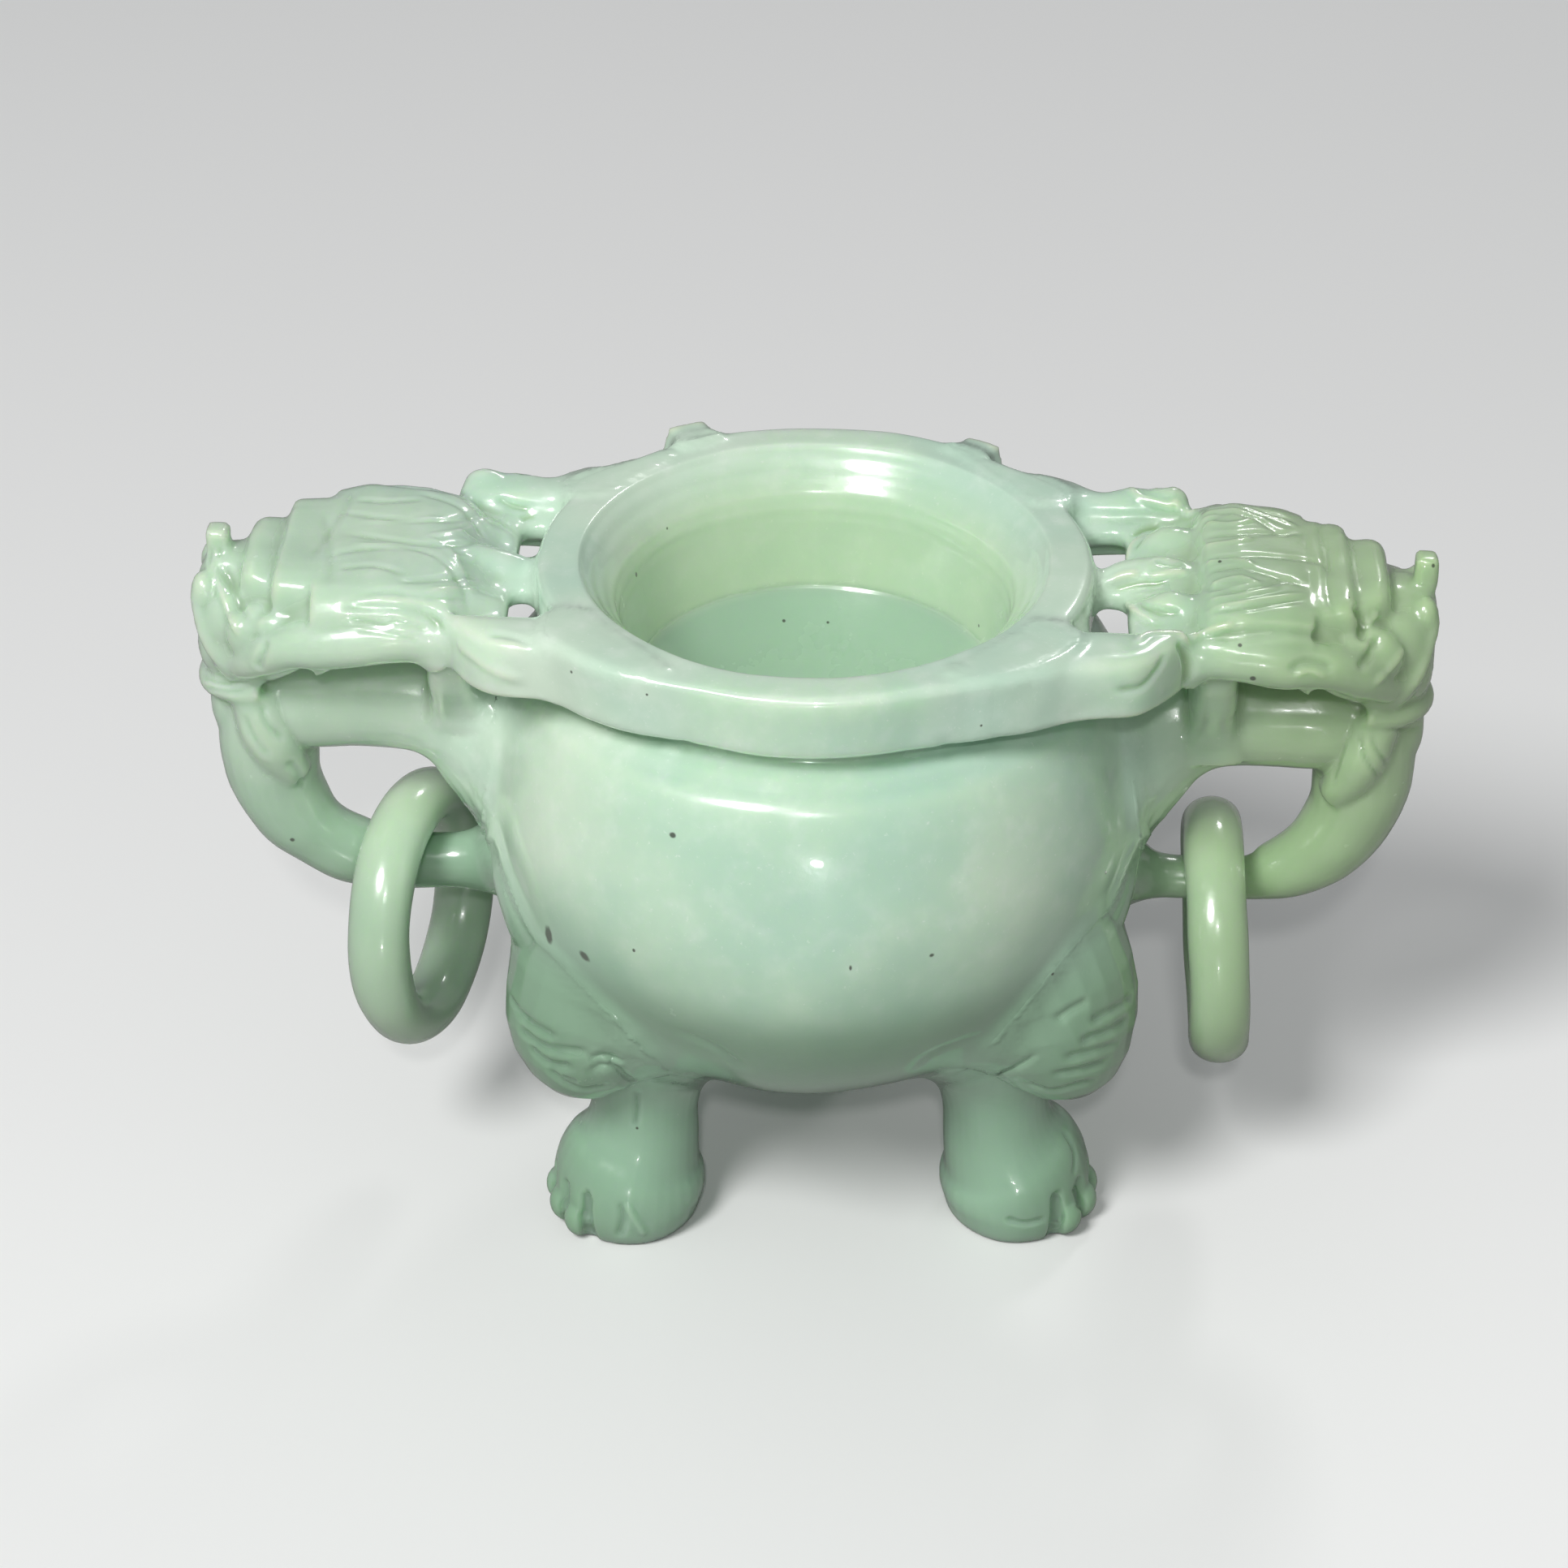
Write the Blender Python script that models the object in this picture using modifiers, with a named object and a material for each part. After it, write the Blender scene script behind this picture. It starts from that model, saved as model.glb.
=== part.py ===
# Carved jade incense burner: a round bowl on three beast legs, with two beast-head
# handles that each carry a loose ring. Bowl, handles and legs are one stone in life.
# Each carved region is a solid of its own here, parted from the bowl by a fine seam.
import bpy
import bmesh
from math import cos, hypot, pi, radians, sin, sqrt
from mathutils import Matrix, Vector

MM = 0.001

# Seams between carved regions, and the ring's play on its bar
SEAM = 0.3 * MM
RING_PLAY = 0.3 * MM

# Bowl: radii and heights above the table
RIM_TOP = 97.2 * MM
RIM_RADIUS = 37.0 * MM
RIM_ROUNDING = 1.2 * MM
FLANGE_HEIGHT = 9.2 * MM
NECK_RADIUS = 33.2 * MM
NECK_HEIGHT = 2.6 * MM
SHOULDER_RADIUS = 35.0 * MM
BELLY_RADIUS = 44.6 * MM
BELLY_LEVEL = 59.5 * MM
BELLY_BOTTOM = 21.0 * MM

# Hollow: lid seat, throat and floor
SEAT_RADIUS = 31.2 * MM
SEAT_DEPTH = 5.0 * MM
THROAT_RADIUS = 26.2 * MM
FLOOR_RADIUS = 24.5 * MM
WALL_DEPTH = 20.2 * MM
HOLLOW_DEPTH = 31.0 * MM

# Small lugs on the far side of the rim, one where each handle's mane runs out
LUG_ANGLES = {"handle_left": 117.0, "handle_right": 62.0}
LUG_WIDTH = 6.6 * MM
LUG_HEIGHT = 4.6 * MM
LUG_REACH = 3.4 * MM

# Handles: lengths run out from the rim's edge, depths run down from the rim's top
NOSE_REACH = 45.4 * MM
NOSE_RISE = 1.9 * MM
HEAD_WIDTH = 36.0 * MM
MANE_THICKNESS = 7.4 * MM
MANE_DROP = 1.6 * MM
MANE_SPREAD = 50.0 * MM
MANE_LOCKS = 6
SLIT_LENGTH = 4.6 * MM
SLIT_WIDTH = 8.6 * MM
SLIT_SPACING = 18.0 * MM
ARM_DROP = 24.2 * MM
ARM_THICKNESS = 13.6 * MM
POST_OUT = {"handle_left": 11.0 * MM, "handle_right": 16.2 * MM}
POST_WIDTH = 20.0 * MM
POST_LENGTH = 6.6 * MM
BEARD_WIDTH = 12.4 * MM
BAR_DROP = 49.8 * MM
BAR_THICKNESS = {"handle_left": 8.0 * MM, "handle_right": 6.0 * MM}

# Rings: one hole size, oval sections, and each ring's place and turn as photographed
RING_HOLE = 12.1 * MM
RING_STEPS = 36
RING_SIDES = 12
RINGS = {
    "ring_left": {"handle": "handle_left", "radius": 19.5 * MM, "width": 8.6 * MM,
                  "out": 17.8 * MM, "turn": -15.3, "lean": -3.2},
    "ring_right": {"handle": "handle_right", "radius": 18.6 * MM, "width": 8.2 * MM,
                   "out": 19.0 * MM, "turn": 0.0, "lean": -3.9},
}

# Legs: their axes stand this far in from the belly's widest ring; heights above the table
LEG_ANGLES = {"leg_front_left": 215.0, "leg_front_right": 330.5, "leg_back": 90.0}
LEG_INSET = 16.2 * MM
LEG_RADIUS = BELLY_RADIUS - LEG_INSET
THIGH_OUT = {"leg_front_left": 6.0 * MM, "leg_front_right": 7.0 * MM, "leg_back": 4.5 * MM}
THIGH_WIDTH = 26.0 * MM
THIGH_LEVEL = 40.5 * MM
THIGH_LENGTH = 39.0 * MM
ANKLE_THICKNESS = 14.6 * MM
ANKLE_LEVEL = 19.0 * MM
PAW_WIDTH = 21.0 * MM
PAW_HEIGHT = 12.6 * MM
TOE_COUNT = 4
TOE_THICKNESS = 6.6 * MM
TOE_REACH = 10.6 * MM

# Toes: share of their reach, and level and thickness as shares of half a toe's thickness
TOE_STEPS = ((0.35, 1.7, 0.9), (0.68, 1.6, 1.0), (0.9, 1.0, 0.86), (1.03, 0.35, 0.5))

# Hair locks on the thigh: rise above its lower end, distance off its skin, sideways swing
HAIR_STEPS = ((15.0, -0.9, 0.0), (8.0, -0.2, 0.10), (3.4, -0.6, 0.26), (1.6, -2.8, 0.42))

TURN_STEPS = 48
RIM_STEPS = 2
SIDES = 14

JADE = (0.60, 0.76, 0.58, 1.0)
JADE_PALE = (0.66, 0.78, 0.62, 1.0)


def clear_scene():
    for item in list(bpy.data.objects):
        bpy.data.objects.remove(item, do_unlink=True)


def new_collection(name):
    group = bpy.data.collections.new(name)
    bpy.context.scene.collection.children.link(group)
    return group


def jade_material(name, colour, roughness):
    material = bpy.data.materials.new(name)
    material.use_nodes = True
    shader = material.node_tree.nodes["Principled BSDF"]
    shader.inputs["Base Color"].default_value = colour
    shader.inputs["Roughness"].default_value = roughness
    shader.inputs["Metallic"].default_value = 0.0
    return material


def object_from(bm, name, group, matrix=None):
    if matrix is not None:
        bm.transform(matrix)
        if matrix.determinant() < 0.0:
            bmesh.ops.reverse_faces(bm, faces=bm.faces)
    mesh = bpy.data.meshes.new(name)
    bm.to_mesh(mesh)
    bm.free()
    item = bpy.data.objects.new(name, mesh)
    group.objects.link(item)
    return item


def finish(item, colour, roughness=0.22, angle=40.0):
    item.data.materials.clear()
    item.data.materials.append(jade_material(item.name + "_stone", colour, roughness))
    item.data.shade_smooth()
    item.data.set_sharp_from_angle(angle=radians(angle))
    return item


def smooth_path(points, steps):
    # Catmull-Rom curve through the points, which may carry a radius as a last value
    path = []
    count = len(points)
    for i in range(count - 1):
        before = points[max(i - 1, 0)]
        start = points[i]
        end = points[i + 1]
        after = points[min(i + 2, count - 1)]
        for k in range(steps):
            t = k / steps
            path.append(tuple(
                0.5 * (2 * b + (c - a) * t + (2 * a - 5 * b + 4 * c - d) * t * t
                       + (3 * b - a - 3 * c + d) * t ** 3)
                for a, b, c, d in zip(before, start, end, after)))
    path.append(tuple(points[-1]))
    return path


def tube(name, group, points, matrix, steps=3, resolution=2):
    # Round limb along a smooth path; each point is x, y, z, radius in metres
    curve = bpy.data.curves.new(name, "CURVE")
    curve.dimensions = "3D"
    curve.bevel_depth = MM
    curve.bevel_resolution = resolution
    curve.use_fill_caps = True
    path = smooth_path(points, steps)
    spline = curve.splines.new("POLY")
    spline.points.add(len(path) - 1)
    for point, (x, y, z, radius) in zip(spline.points, path):
        point.co = (x, y, z, 1.0)
        point.radius = radius / MM
    guide = bpy.data.objects.new(name + "_curve", curve)
    group.objects.link(guide)
    bpy.context.view_layer.update()
    evaluated = guide.evaluated_get(bpy.context.evaluated_depsgraph_get())
    mesh = bpy.data.meshes.new_from_object(evaluated)
    bm = bmesh.new()
    bm.from_mesh(mesh)
    bmesh.ops.remove_doubles(bm, verts=bm.verts, dist=0.01 * MM)
    bmesh.ops.recalc_face_normals(bm, faces=bm.faces)
    bm.transform(guide.matrix_world)
    bpy.data.objects.remove(guide, do_unlink=True)
    bpy.data.meshes.remove(mesh)
    return object_from(bm, name, group, matrix)


def ball(name, group, centre, half_sizes, matrix, turn=None, segments=SIDES):
    bm = bmesh.new()
    bmesh.ops.create_uvsphere(bm, u_segments=segments, v_segments=segments // 2, radius=1.0)
    size = Matrix.Diagonal((*half_sizes, 1.0))
    place = Matrix.Translation(centre)
    if turn is not None:
        place = place @ turn
    bm.transform(place @ size)
    return object_from(bm, name, group, matrix)


def block(name, group, low, high, matrix, rounding=0.0):
    bm = bmesh.new()
    bmesh.ops.create_cube(bm, size=1.0)
    low = Vector(low)
    high = Vector(high)
    size = Matrix.Diagonal((*(high - low), 1.0))
    bm.transform(Matrix.Translation((low + high) / 2) @ size)
    if rounding > 0.0:
        bmesh.ops.bevel(bm, geom=bm.edges[:], offset=rounding, segments=2, profile=0.5,
                        affect="EDGES", material=-1)
    return object_from(bm, name, group, matrix)


def loft(name, group, sections, matrix, power=2.6, sides=SIDES):
    # Skin along +X over rounded-box sections: distance out, half width, top and bottom
    bm = bmesh.new()
    rings = []
    for out, half, top, bottom in sections:
        middle = (top + bottom) / 2
        rise = (top - bottom) / 2
        ring = []
        for k in range(sides):
            angle = 2 * pi * (k + 0.5) / sides
            c = cos(angle)
            s = sin(angle)
            y = half * abs(c) ** (2 / power) * (1 if c > 0 else -1)
            z = middle + rise * abs(s) ** (2 / power) * (1 if s > 0 else -1)
            ring.append(bm.verts.new((out, y, z)))
        rings.append(ring)
    for first, second in zip(rings, rings[1:]):
        for k in range(sides):
            n = (k + 1) % sides
            bm.faces.new((first[k], first[n], second[n], second[k]))
    bm.faces.new(rings[0])
    bm.faces.new(rings[-1])
    bmesh.ops.recalc_face_normals(bm, faces=bm.faces)
    return object_from(bm, name, group, matrix)


def add_boolean(item, operation, target):
    modifier = item.modifiers.new(operation.title(), "BOOLEAN")
    modifier.operation = operation
    modifier.solver = "EXACT"
    if isinstance(target, bpy.types.Collection):
        modifier.operand_type = "COLLECTION"
        modifier.collection = target
    else:
        modifier.object = target
    return modifier


def hide_as_guide(item):
    item.hide_render = True
    item.display_type = "WIRE"


def outer_profile():
    # Radius and height down the outside, from the rim's top edge to the bowl's base
    flange_bottom = RIM_TOP - FLANGE_HEIGHT
    neck_bottom = flange_bottom - NECK_HEIGHT
    points = []
    for k in range(RIM_STEPS + 1):
        a = pi / 2 * k / RIM_STEPS
        points.append((RIM_RADIUS - RIM_ROUNDING * (1 - sin(a)),
                       RIM_TOP - RIM_ROUNDING * (1 - cos(a))))
    points.append((RIM_RADIUS, flange_bottom + RIM_ROUNDING / 2))
    points.append((RIM_RADIUS - RIM_ROUNDING / 2, flange_bottom))
    points.append((NECK_RADIUS + 0.2 * (RIM_RADIUS - NECK_RADIUS), flange_bottom - 0.3 * MM))
    points.append((NECK_RADIUS, flange_bottom - NECK_HEIGHT / 2))
    steps = 7
    for k in range(steps + 1):
        a = pi / 2 * k / steps
        points.append((SHOULDER_RADIUS + (BELLY_RADIUS - SHOULDER_RADIUS) * sin(a),
                       BELLY_LEVEL + (neck_bottom - BELLY_LEVEL) * cos(a)))
    for k in range(1, steps):
        a = pi / 2 * k / steps
        points.append((BELLY_RADIUS * cos(a),
                       BELLY_LEVEL - (BELLY_LEVEL - BELLY_BOTTOM) * sin(a)))
    points.append((0.0, BELLY_BOTTOM))
    return points


def inner_profile():
    # Radius and height from the centre of the floor up to the lid seat's outer edge
    wall_foot = RIM_TOP - WALL_DEPTH
    floor = RIM_TOP - HOLLOW_DEPTH
    points = []
    steps = 4
    for k in range(steps + 1):
        share = k / steps
        points.append((FLOOR_RADIUS * share, floor + (wall_foot - floor) * share ** 2))
    throat = RIM_TOP - SEAT_DEPTH
    points.append(((FLOOR_RADIUS + THROAT_RADIUS) / 2, (wall_foot + throat) / 2))
    steps = 3
    for k in range(steps + 1):
        share = k / steps
        points.append((THROAT_RADIUS + (SEAT_RADIUS - THROAT_RADIUS) * share,
                       throat + SEAT_DEPTH * share ** 1.3))
    return points


def turned(name, group, profile):
    mesh = bpy.data.meshes.new(name)
    vertices = [(r, 0.0, z) for r, z in profile]
    edges = [(i, i + 1) for i in range(len(vertices) - 1)]
    mesh.from_pydata(vertices, edges, [])
    item = bpy.data.objects.new(name, mesh)
    group.objects.link(item)
    screw = item.modifiers.new("Turn", "SCREW")
    screw.angle = 2 * pi
    screw.steps = TURN_STEPS
    screw.render_steps = TURN_STEPS
    screw.use_merge_vertices = True
    screw.merge_threshold = 0.01 * MM
    screw.use_smooth_shade = True
    return item


def offset_profile(profile, distance):
    # The same outline moved outwards along its normals
    moved = []
    for i, (r, z) in enumerate(profile):
        r0, z0 = profile[max(i - 1, 0)]
        r1, z1 = profile[min(i + 1, len(profile) - 1)]
        length = hypot(r1 - r0, z1 - z0)
        nr = -(z1 - z0) / length
        nz = (r1 - r0) / length
        moved.append((max(r + nr * distance, 0.0), z + nz * distance))
    moved[-1] = (0.0, profile[-1][1] - distance)
    return moved


def make_seat_cutter(name, group, clearance):
    # The bowl's outside grown by the seam, carried up past the rim, for limbs to be cut by
    outline = offset_profile(outer_profile()[RIM_STEPS:], clearance)
    top = (RIM_RADIUS + clearance, RIM_TOP + 20 * MM)
    cutter = turned(name, group, [(0.0, top[1]), top] + outline)
    hide_as_guide(cutter)
    return cutter


def make_bowl(group):
    bowl = turned("bowl", group, inner_profile() + outer_profile())
    return finish(bowl, JADE), []


def handle_frame(side):
    # x runs out from the rim's edge, z is level with the rim's top; left is a mirror image
    return Matrix.Diagonal((side, 1.0, 1.0, 1.0)) @ Matrix.Translation((RIM_RADIUS, 0.0, RIM_TOP))


def head_sections():
    # Distance out, half width, top and bottom of the head from mane to lips
    half = HEAD_WIDTH / 2
    mane_top = -MANE_DROP + 1.2 * MM
    mane_bottom = -MANE_DROP - MANE_THICKNESS
    reach = NOSE_REACH
    return [
        (reach - 38.0 * MM, half * 0.93, mane_top, mane_bottom),
        (reach - 30.0 * MM, half * 0.97, 0.2 * MM, mane_bottom - 0.4 * MM),
        (reach - 21.0 * MM, half, 0.4 * MM, mane_bottom - 2.4 * MM),
        (reach - 15.0 * MM, half * 0.95, 0.2 * MM, -15.5 * MM),
        (reach - 11.5 * MM, half * 0.80, 0.0, -19.5 * MM),
        (reach - 8.0 * MM, half * 0.62, -1.8 * MM, -20.4 * MM),
        (reach - 4.0 * MM, half * 0.52, -3.2 * MM, -19.8 * MM),
        (reach - 1.2 * MM, half * 0.45, -3.4 * MM, -18.8 * MM),
        (reach, half * 0.34, -5.0 * MM, -17.2 * MM),
    ]


def make_mane(parts, frame):
    # Slab that carries the mane from the head back to the rim, under its combed locks
    spread = MANE_SPREAD / 2
    top = -MANE_DROP
    bottom = top - MANE_THICKNESS
    reach = NOSE_REACH
    loft("mane_slab", parts, [
        (-23.0 * MM, spread * 1.35, top, bottom),
        (-19.0 * MM, spread * 1.35, top, bottom),
        (-15.0 * MM, spread * 1.32, top, bottom),
        (-10.5 * MM, spread * 1.21, top, bottom),
        (-6.0 * MM, spread * 1.06, top, bottom),
        (0.0, spread * 0.96, top, bottom),
        (5.0 * MM, spread * 0.94, top, bottom),
        (9.5 * MM, spread * 0.80, top, bottom),
        (reach - 30.0 * MM, HEAD_WIDTH * 0.46, top, bottom),
    ], frame, power=5.0)
    pitch = HEAD_WIDTH * 0.80 / (MANE_LOCKS - 1)
    for number in range(MANE_LOCKS):
        side = number - (MANE_LOCKS - 1) / 2
        y = side * pitch
        fan = y * 1.12
        lift = 0.5 * MM if number % 2 else 0.0
        tube(f"lock_{number}", parts, [
            (-4.0 * MM, fan, top - 2.0 * MM, 2.0 * MM),
            (6.0 * MM, fan, top - 1.2 * MM + lift, 2.6 * MM),
            (reach - 30.0 * MM, y, -1.9 * MM + lift, 2.7 * MM),
            (reach - 18.0 * MM, y * 0.92, -1.6 * MM + lift, 2.3 * MM),
            (reach - 12.0 * MM, y * 0.72, -2.4 * MM, 1.2 * MM),
        ], frame, steps=1, resolution=1)


def make_lug(parts, angle):
    turn = Matrix.Rotation(radians(angle), 4, "Z")
    low = (RIM_RADIUS - 2 * MM, -LUG_WIDTH / 2, RIM_TOP - RIM_ROUNDING - LUG_HEIGHT)
    high = (RIM_RADIUS + LUG_REACH, LUG_WIDTH / 2, RIM_TOP - RIM_ROUNDING)
    block("lug", parts, low, high, turn, rounding=0.9 * MM)


def make_scroll(parts, frame, front):
    # Cloud curl at the corner where the rim flows into the handle, coiled in plan
    centre_x = 6.2 * MM
    centre_y = MANE_SPREAD * 0.345
    points = []
    count = 12
    for k in range(count):
        share = k / (count - 1)
        angle = radians(-205.0 + 400.0 * share)
        radius = (8.4 - 6.2 * share) * MM
        points.append((centre_x + radius * cos(angle),
                       front * (centre_y - radius * sin(angle)),
                       (-4.6 + 1.4 * share) * MM,
                       (3.9 - 1.9 * share) * MM))
    tube(f"scroll_{'front' if front < 0 else 'far'}", parts, points, frame, steps=1)


def make_face(parts, frame):
    half = HEAD_WIDTH / 2
    reach = NOSE_REACH
    ball("brow", parts, (reach - 10.2 * MM, 0.0, -2.4 * MM), (3.4 * MM, half * 0.62, 3.8 * MM),
         frame)
    tube("nose", parts, [
        (reach - 9.5 * MM, 0.0, -5.2 * MM, 4.4 * MM),
        (reach - 5.0 * MM, 0.0, -4.6 * MM, 4.0 * MM),
        (reach - 2.4 * MM, 0.0, -2.4 * MM, 3.0 * MM),
        (reach - 2.2 * MM, 0.0, NOSE_RISE - 0.4 * MM, 1.7 * MM),
    ], frame, steps=2)
    for name, side in (("front", -1), ("far", 1)):
        nostril = Matrix.Rotation(radians(25.0 * side), 4, "Z")
        ball(f"nostril_{name}", parts, (reach - 3.2 * MM, side * 4.6 * MM, -4.2 * MM),
             (3.2 * MM, 2.6 * MM, 2.8 * MM), frame, nostril, segments=12)
        ball(f"eye_{name}", parts, (reach - 15.2 * MM, side * half * 0.82, -6.6 * MM),
             (3.0 * MM, 2.8 * MM, 2.9 * MM), frame, segments=12)
        ball(f"cheek_{name}", parts, (reach - 9.4 * MM, side * half * 0.52, -16.6 * MM),
             (5.4 * MM, 4.0 * MM, 4.6 * MM), frame, segments=12)
        tube(f"whisker_{name}", parts, [
            (reach - 1.6 * MM, side * half * 0.34, -6.4 * MM, 1.4 * MM),
            (reach - 3.0 * MM, side * half * 0.56, -10.6 * MM, 1.5 * MM),
            (reach - 6.4 * MM, side * half * 0.68, -14.6 * MM, 1.4 * MM),
            (reach - 11.0 * MM, side * half * 0.78, -15.6 * MM, 1.0 * MM),
        ], frame, steps=2)
        ear = [
            (reach - 13.0 * MM, side * half * 0.92, -5.2 * MM, 1.6 * MM),
            (reach - 18.0 * MM, side * half * 0.98, -5.6 * MM, 3.5 * MM),
            (reach - 25.0 * MM, side * half * 0.98, -5.2 * MM, 4.0 * MM),
            (reach - 32.0 * MM, side * half * 0.94, -4.0 * MM, 2.6 * MM),
        ]
        tube(f"ear_{name}", parts, ear, frame, steps=2)
    count = 8
    for name, drop, out in (("upper", 15.0, 0.9), ("lower", 18.6, 1.3)):
        points = []
        for k in range(count + 1):
            a = pi * (k / count - 0.5)
            points.append((reach - out * MM - half * 0.50 * (1 - cos(a)),
                           half * 0.48 * sin(a), -drop * MM, 1.6 * MM))
        tube(f"lip_{name}", parts, points, frame, steps=1, resolution=1)


def make_arm_and_loop(parts, frame, post_out, bar_thickness):
    # Neck from the bowl's shoulder to the jaw, and the beard that curls down into the bar
    reach = NOSE_REACH
    arm = ARM_THICKNESS / 2
    tube("arm", parts, [
        (-14.0 * MM, 0.0, -ARM_DROP - 10.0 * MM, arm * 2.3),
        (4.0 * MM, 0.0, -ARM_DROP - 5.6 * MM, arm * 1.66),
        (11.0 * MM, 0.0, -ARM_DROP - 1.6 * MM, arm * 1.16),
        (17.0 * MM, 0.0, -ARM_DROP, arm),
        (reach - 20.0 * MM, 0.0, -ARM_DROP + 0.4 * MM, arm * 0.97),
        (reach - 11.0 * MM, 0.0, -ARM_DROP + 0.6 * MM, arm),
        (reach - 6.5 * MM, 0.0, -ARM_DROP + 2.4 * MM, arm * 0.86),
    ], frame, steps=2, resolution=3)
    block("post", parts, (post_out - POST_LENGTH / 2, -POST_WIDTH / 2, -ARM_DROP),
          (post_out + POST_LENGTH / 2, POST_WIDTH / 2, -MANE_DROP - MANE_THICKNESS / 2),
          frame, rounding=1.8 * MM)
    beard = BEARD_WIDTH / 2
    bar = bar_thickness / 2
    tube("beard_loop", parts, [
        (reach - 8.6 * MM, 0.0, -20.0 * MM, beard * 0.94),
        (reach - 8.2 * MM, 0.0, -28.0 * MM, beard),
        (reach - 8.2 * MM, 0.0, -35.2 * MM, beard * 0.96),
        (reach - 9.8 * MM, 0.0, -41.4 * MM, beard * 0.92),
        (reach - 13.8 * MM, 0.0, -46.0 * MM, beard * 0.80),
        (reach - 18.6 * MM, 0.0, -BAR_DROP + 1.2 * MM, (beard * 0.5 + bar) * 0.68),
        (reach - 22.6 * MM, 0.0, -BAR_DROP, bar),
        (10.0 * MM, 0.0, -BAR_DROP, bar),
        (-12.0 * MM, 0.0, -BAR_DROP + 1.0 * MM, bar * 1.1),
    ], frame, steps=2, resolution=3)
    tube("chin_tuft", parts, [
        (reach - 5.4 * MM, 0.0, -21.0 * MM, 5.2 * MM),
        (reach - 4.2 * MM, 0.0, -25.6 * MM, 4.6 * MM),
        (reach - 4.4 * MM, 0.0, -29.6 * MM, 3.0 * MM),
        (reach - 5.8 * MM, 0.0, -32.8 * MM, 1.4 * MM),
    ], frame, steps=2)


def make_handle(name, side, group, tools, seat):
    parts = bpy.data.collections.new(name + "_parts")
    tools.children.link(parts)
    frame = handle_frame(side)
    make_mane(parts, frame)
    make_lug(parts, LUG_ANGLES[name])
    for front in (-1, 1):
        make_scroll(parts, frame, front)
    make_face(parts, frame)
    make_arm_and_loop(parts, frame, POST_OUT[name], BAR_THICKNESS[name])
    cuts = bpy.data.collections.new(name + "_slits")
    tools.children.link(cuts)
    for place in (-1, 1):
        y = place * SLIT_SPACING / 2
        slit = block(f"{name}_slit_{'front' if place < 0 else 'far'}", cuts,
                     (-1.0 * MM, y - SLIT_WIDTH / 2, -MANE_DROP - MANE_THICKNESS - 2 * MM),
                     (SLIT_LENGTH - 1.0 * MM, y + SLIT_WIDTH / 2, 4 * MM),
                     frame)
        hide_as_guide(slit)
    for item in parts.objects:
        hide_as_guide(item)
    handle = loft(name, group, head_sections(), frame, power=3.0, sides=18)
    joins = [("UNION", parts), ("DIFFERENCE", cuts), ("DIFFERENCE", seat)]
    return finish(handle, JADE_PALE), joins


def ring_drop(shape):
    # How far a ring's centre hangs below its bar's, when its hole just clears the bar's top
    return RING_HOLE - RING_PLAY - BAR_THICKNESS[shape["handle"]] / 2


def make_ring(name, side, group):
    shape = RINGS[name]
    thickness = (shape["radius"] - RING_HOLE) / 2
    bpy.ops.mesh.primitive_torus_add(major_radius=RING_HOLE + thickness,
                                     minor_radius=thickness,
                                     major_segments=RING_STEPS, minor_segments=RING_SIDES)
    ring = bpy.context.object
    ring.name = name
    for owner in list(ring.users_collection):
        owner.objects.unlink(ring)
    group.objects.link(ring)
    # Widened to an oval section, stood upright, leaned and turned, then hung from the bar
    oval = Matrix.Diagonal((1.0, 1.0, shape["width"] / (2 * thickness), 1.0))
    upright = Matrix.Rotation(radians(90.0), 4, "Y")
    lean = Matrix.Rotation(radians(shape["lean"]), 4, "Y")
    turn = Matrix.Rotation(radians(shape["turn"]), 4, "Z")
    hang = Matrix.Translation((0.0, 0.0, -ring_drop(shape)))
    ring.data.transform(hang @ turn @ lean @ upright @ oval)
    ring.location = (side * (RIM_RADIUS + shape["out"]), 0.0, RIM_TOP - BAR_DROP)
    return finish(ring, JADE_PALE, angle=180.0)


def make_thigh(parts, frame, thigh_out):
    half = THIGH_WIDTH / 2
    lean = Matrix.Rotation(radians(-14.0), 4, "Y")
    middle = LEG_RADIUS + thigh_out
    ball("thigh", parts, (middle, 0.0, THIGH_LEVEL), (half, half, THIGH_LENGTH / 2),
         frame, lean, segments=16)
    low = THIGH_LEVEL - THIGH_LENGTH / 2
    for number in range(5):
        spread = radians(-64.0 + 32.0 * number)
        points = []
        for rise, out, swing in HAIR_STEPS:
            level = (low + rise * MM - THIGH_LEVEL) / (THIGH_LENGTH / 2)
            radius = half * sqrt(1 - level ** 2) + out * MM
            angle = spread * (1.0 + swing * 0.3) + swing * 0.4
            points.append((middle - 0.6 * MM + radius * cos(angle), radius * sin(angle),
                           low + rise * MM, (2.3 - 2.2 * swing) * MM))
        tube(f"hair_{number}", parts, points, frame, steps=1, resolution=1)


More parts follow.
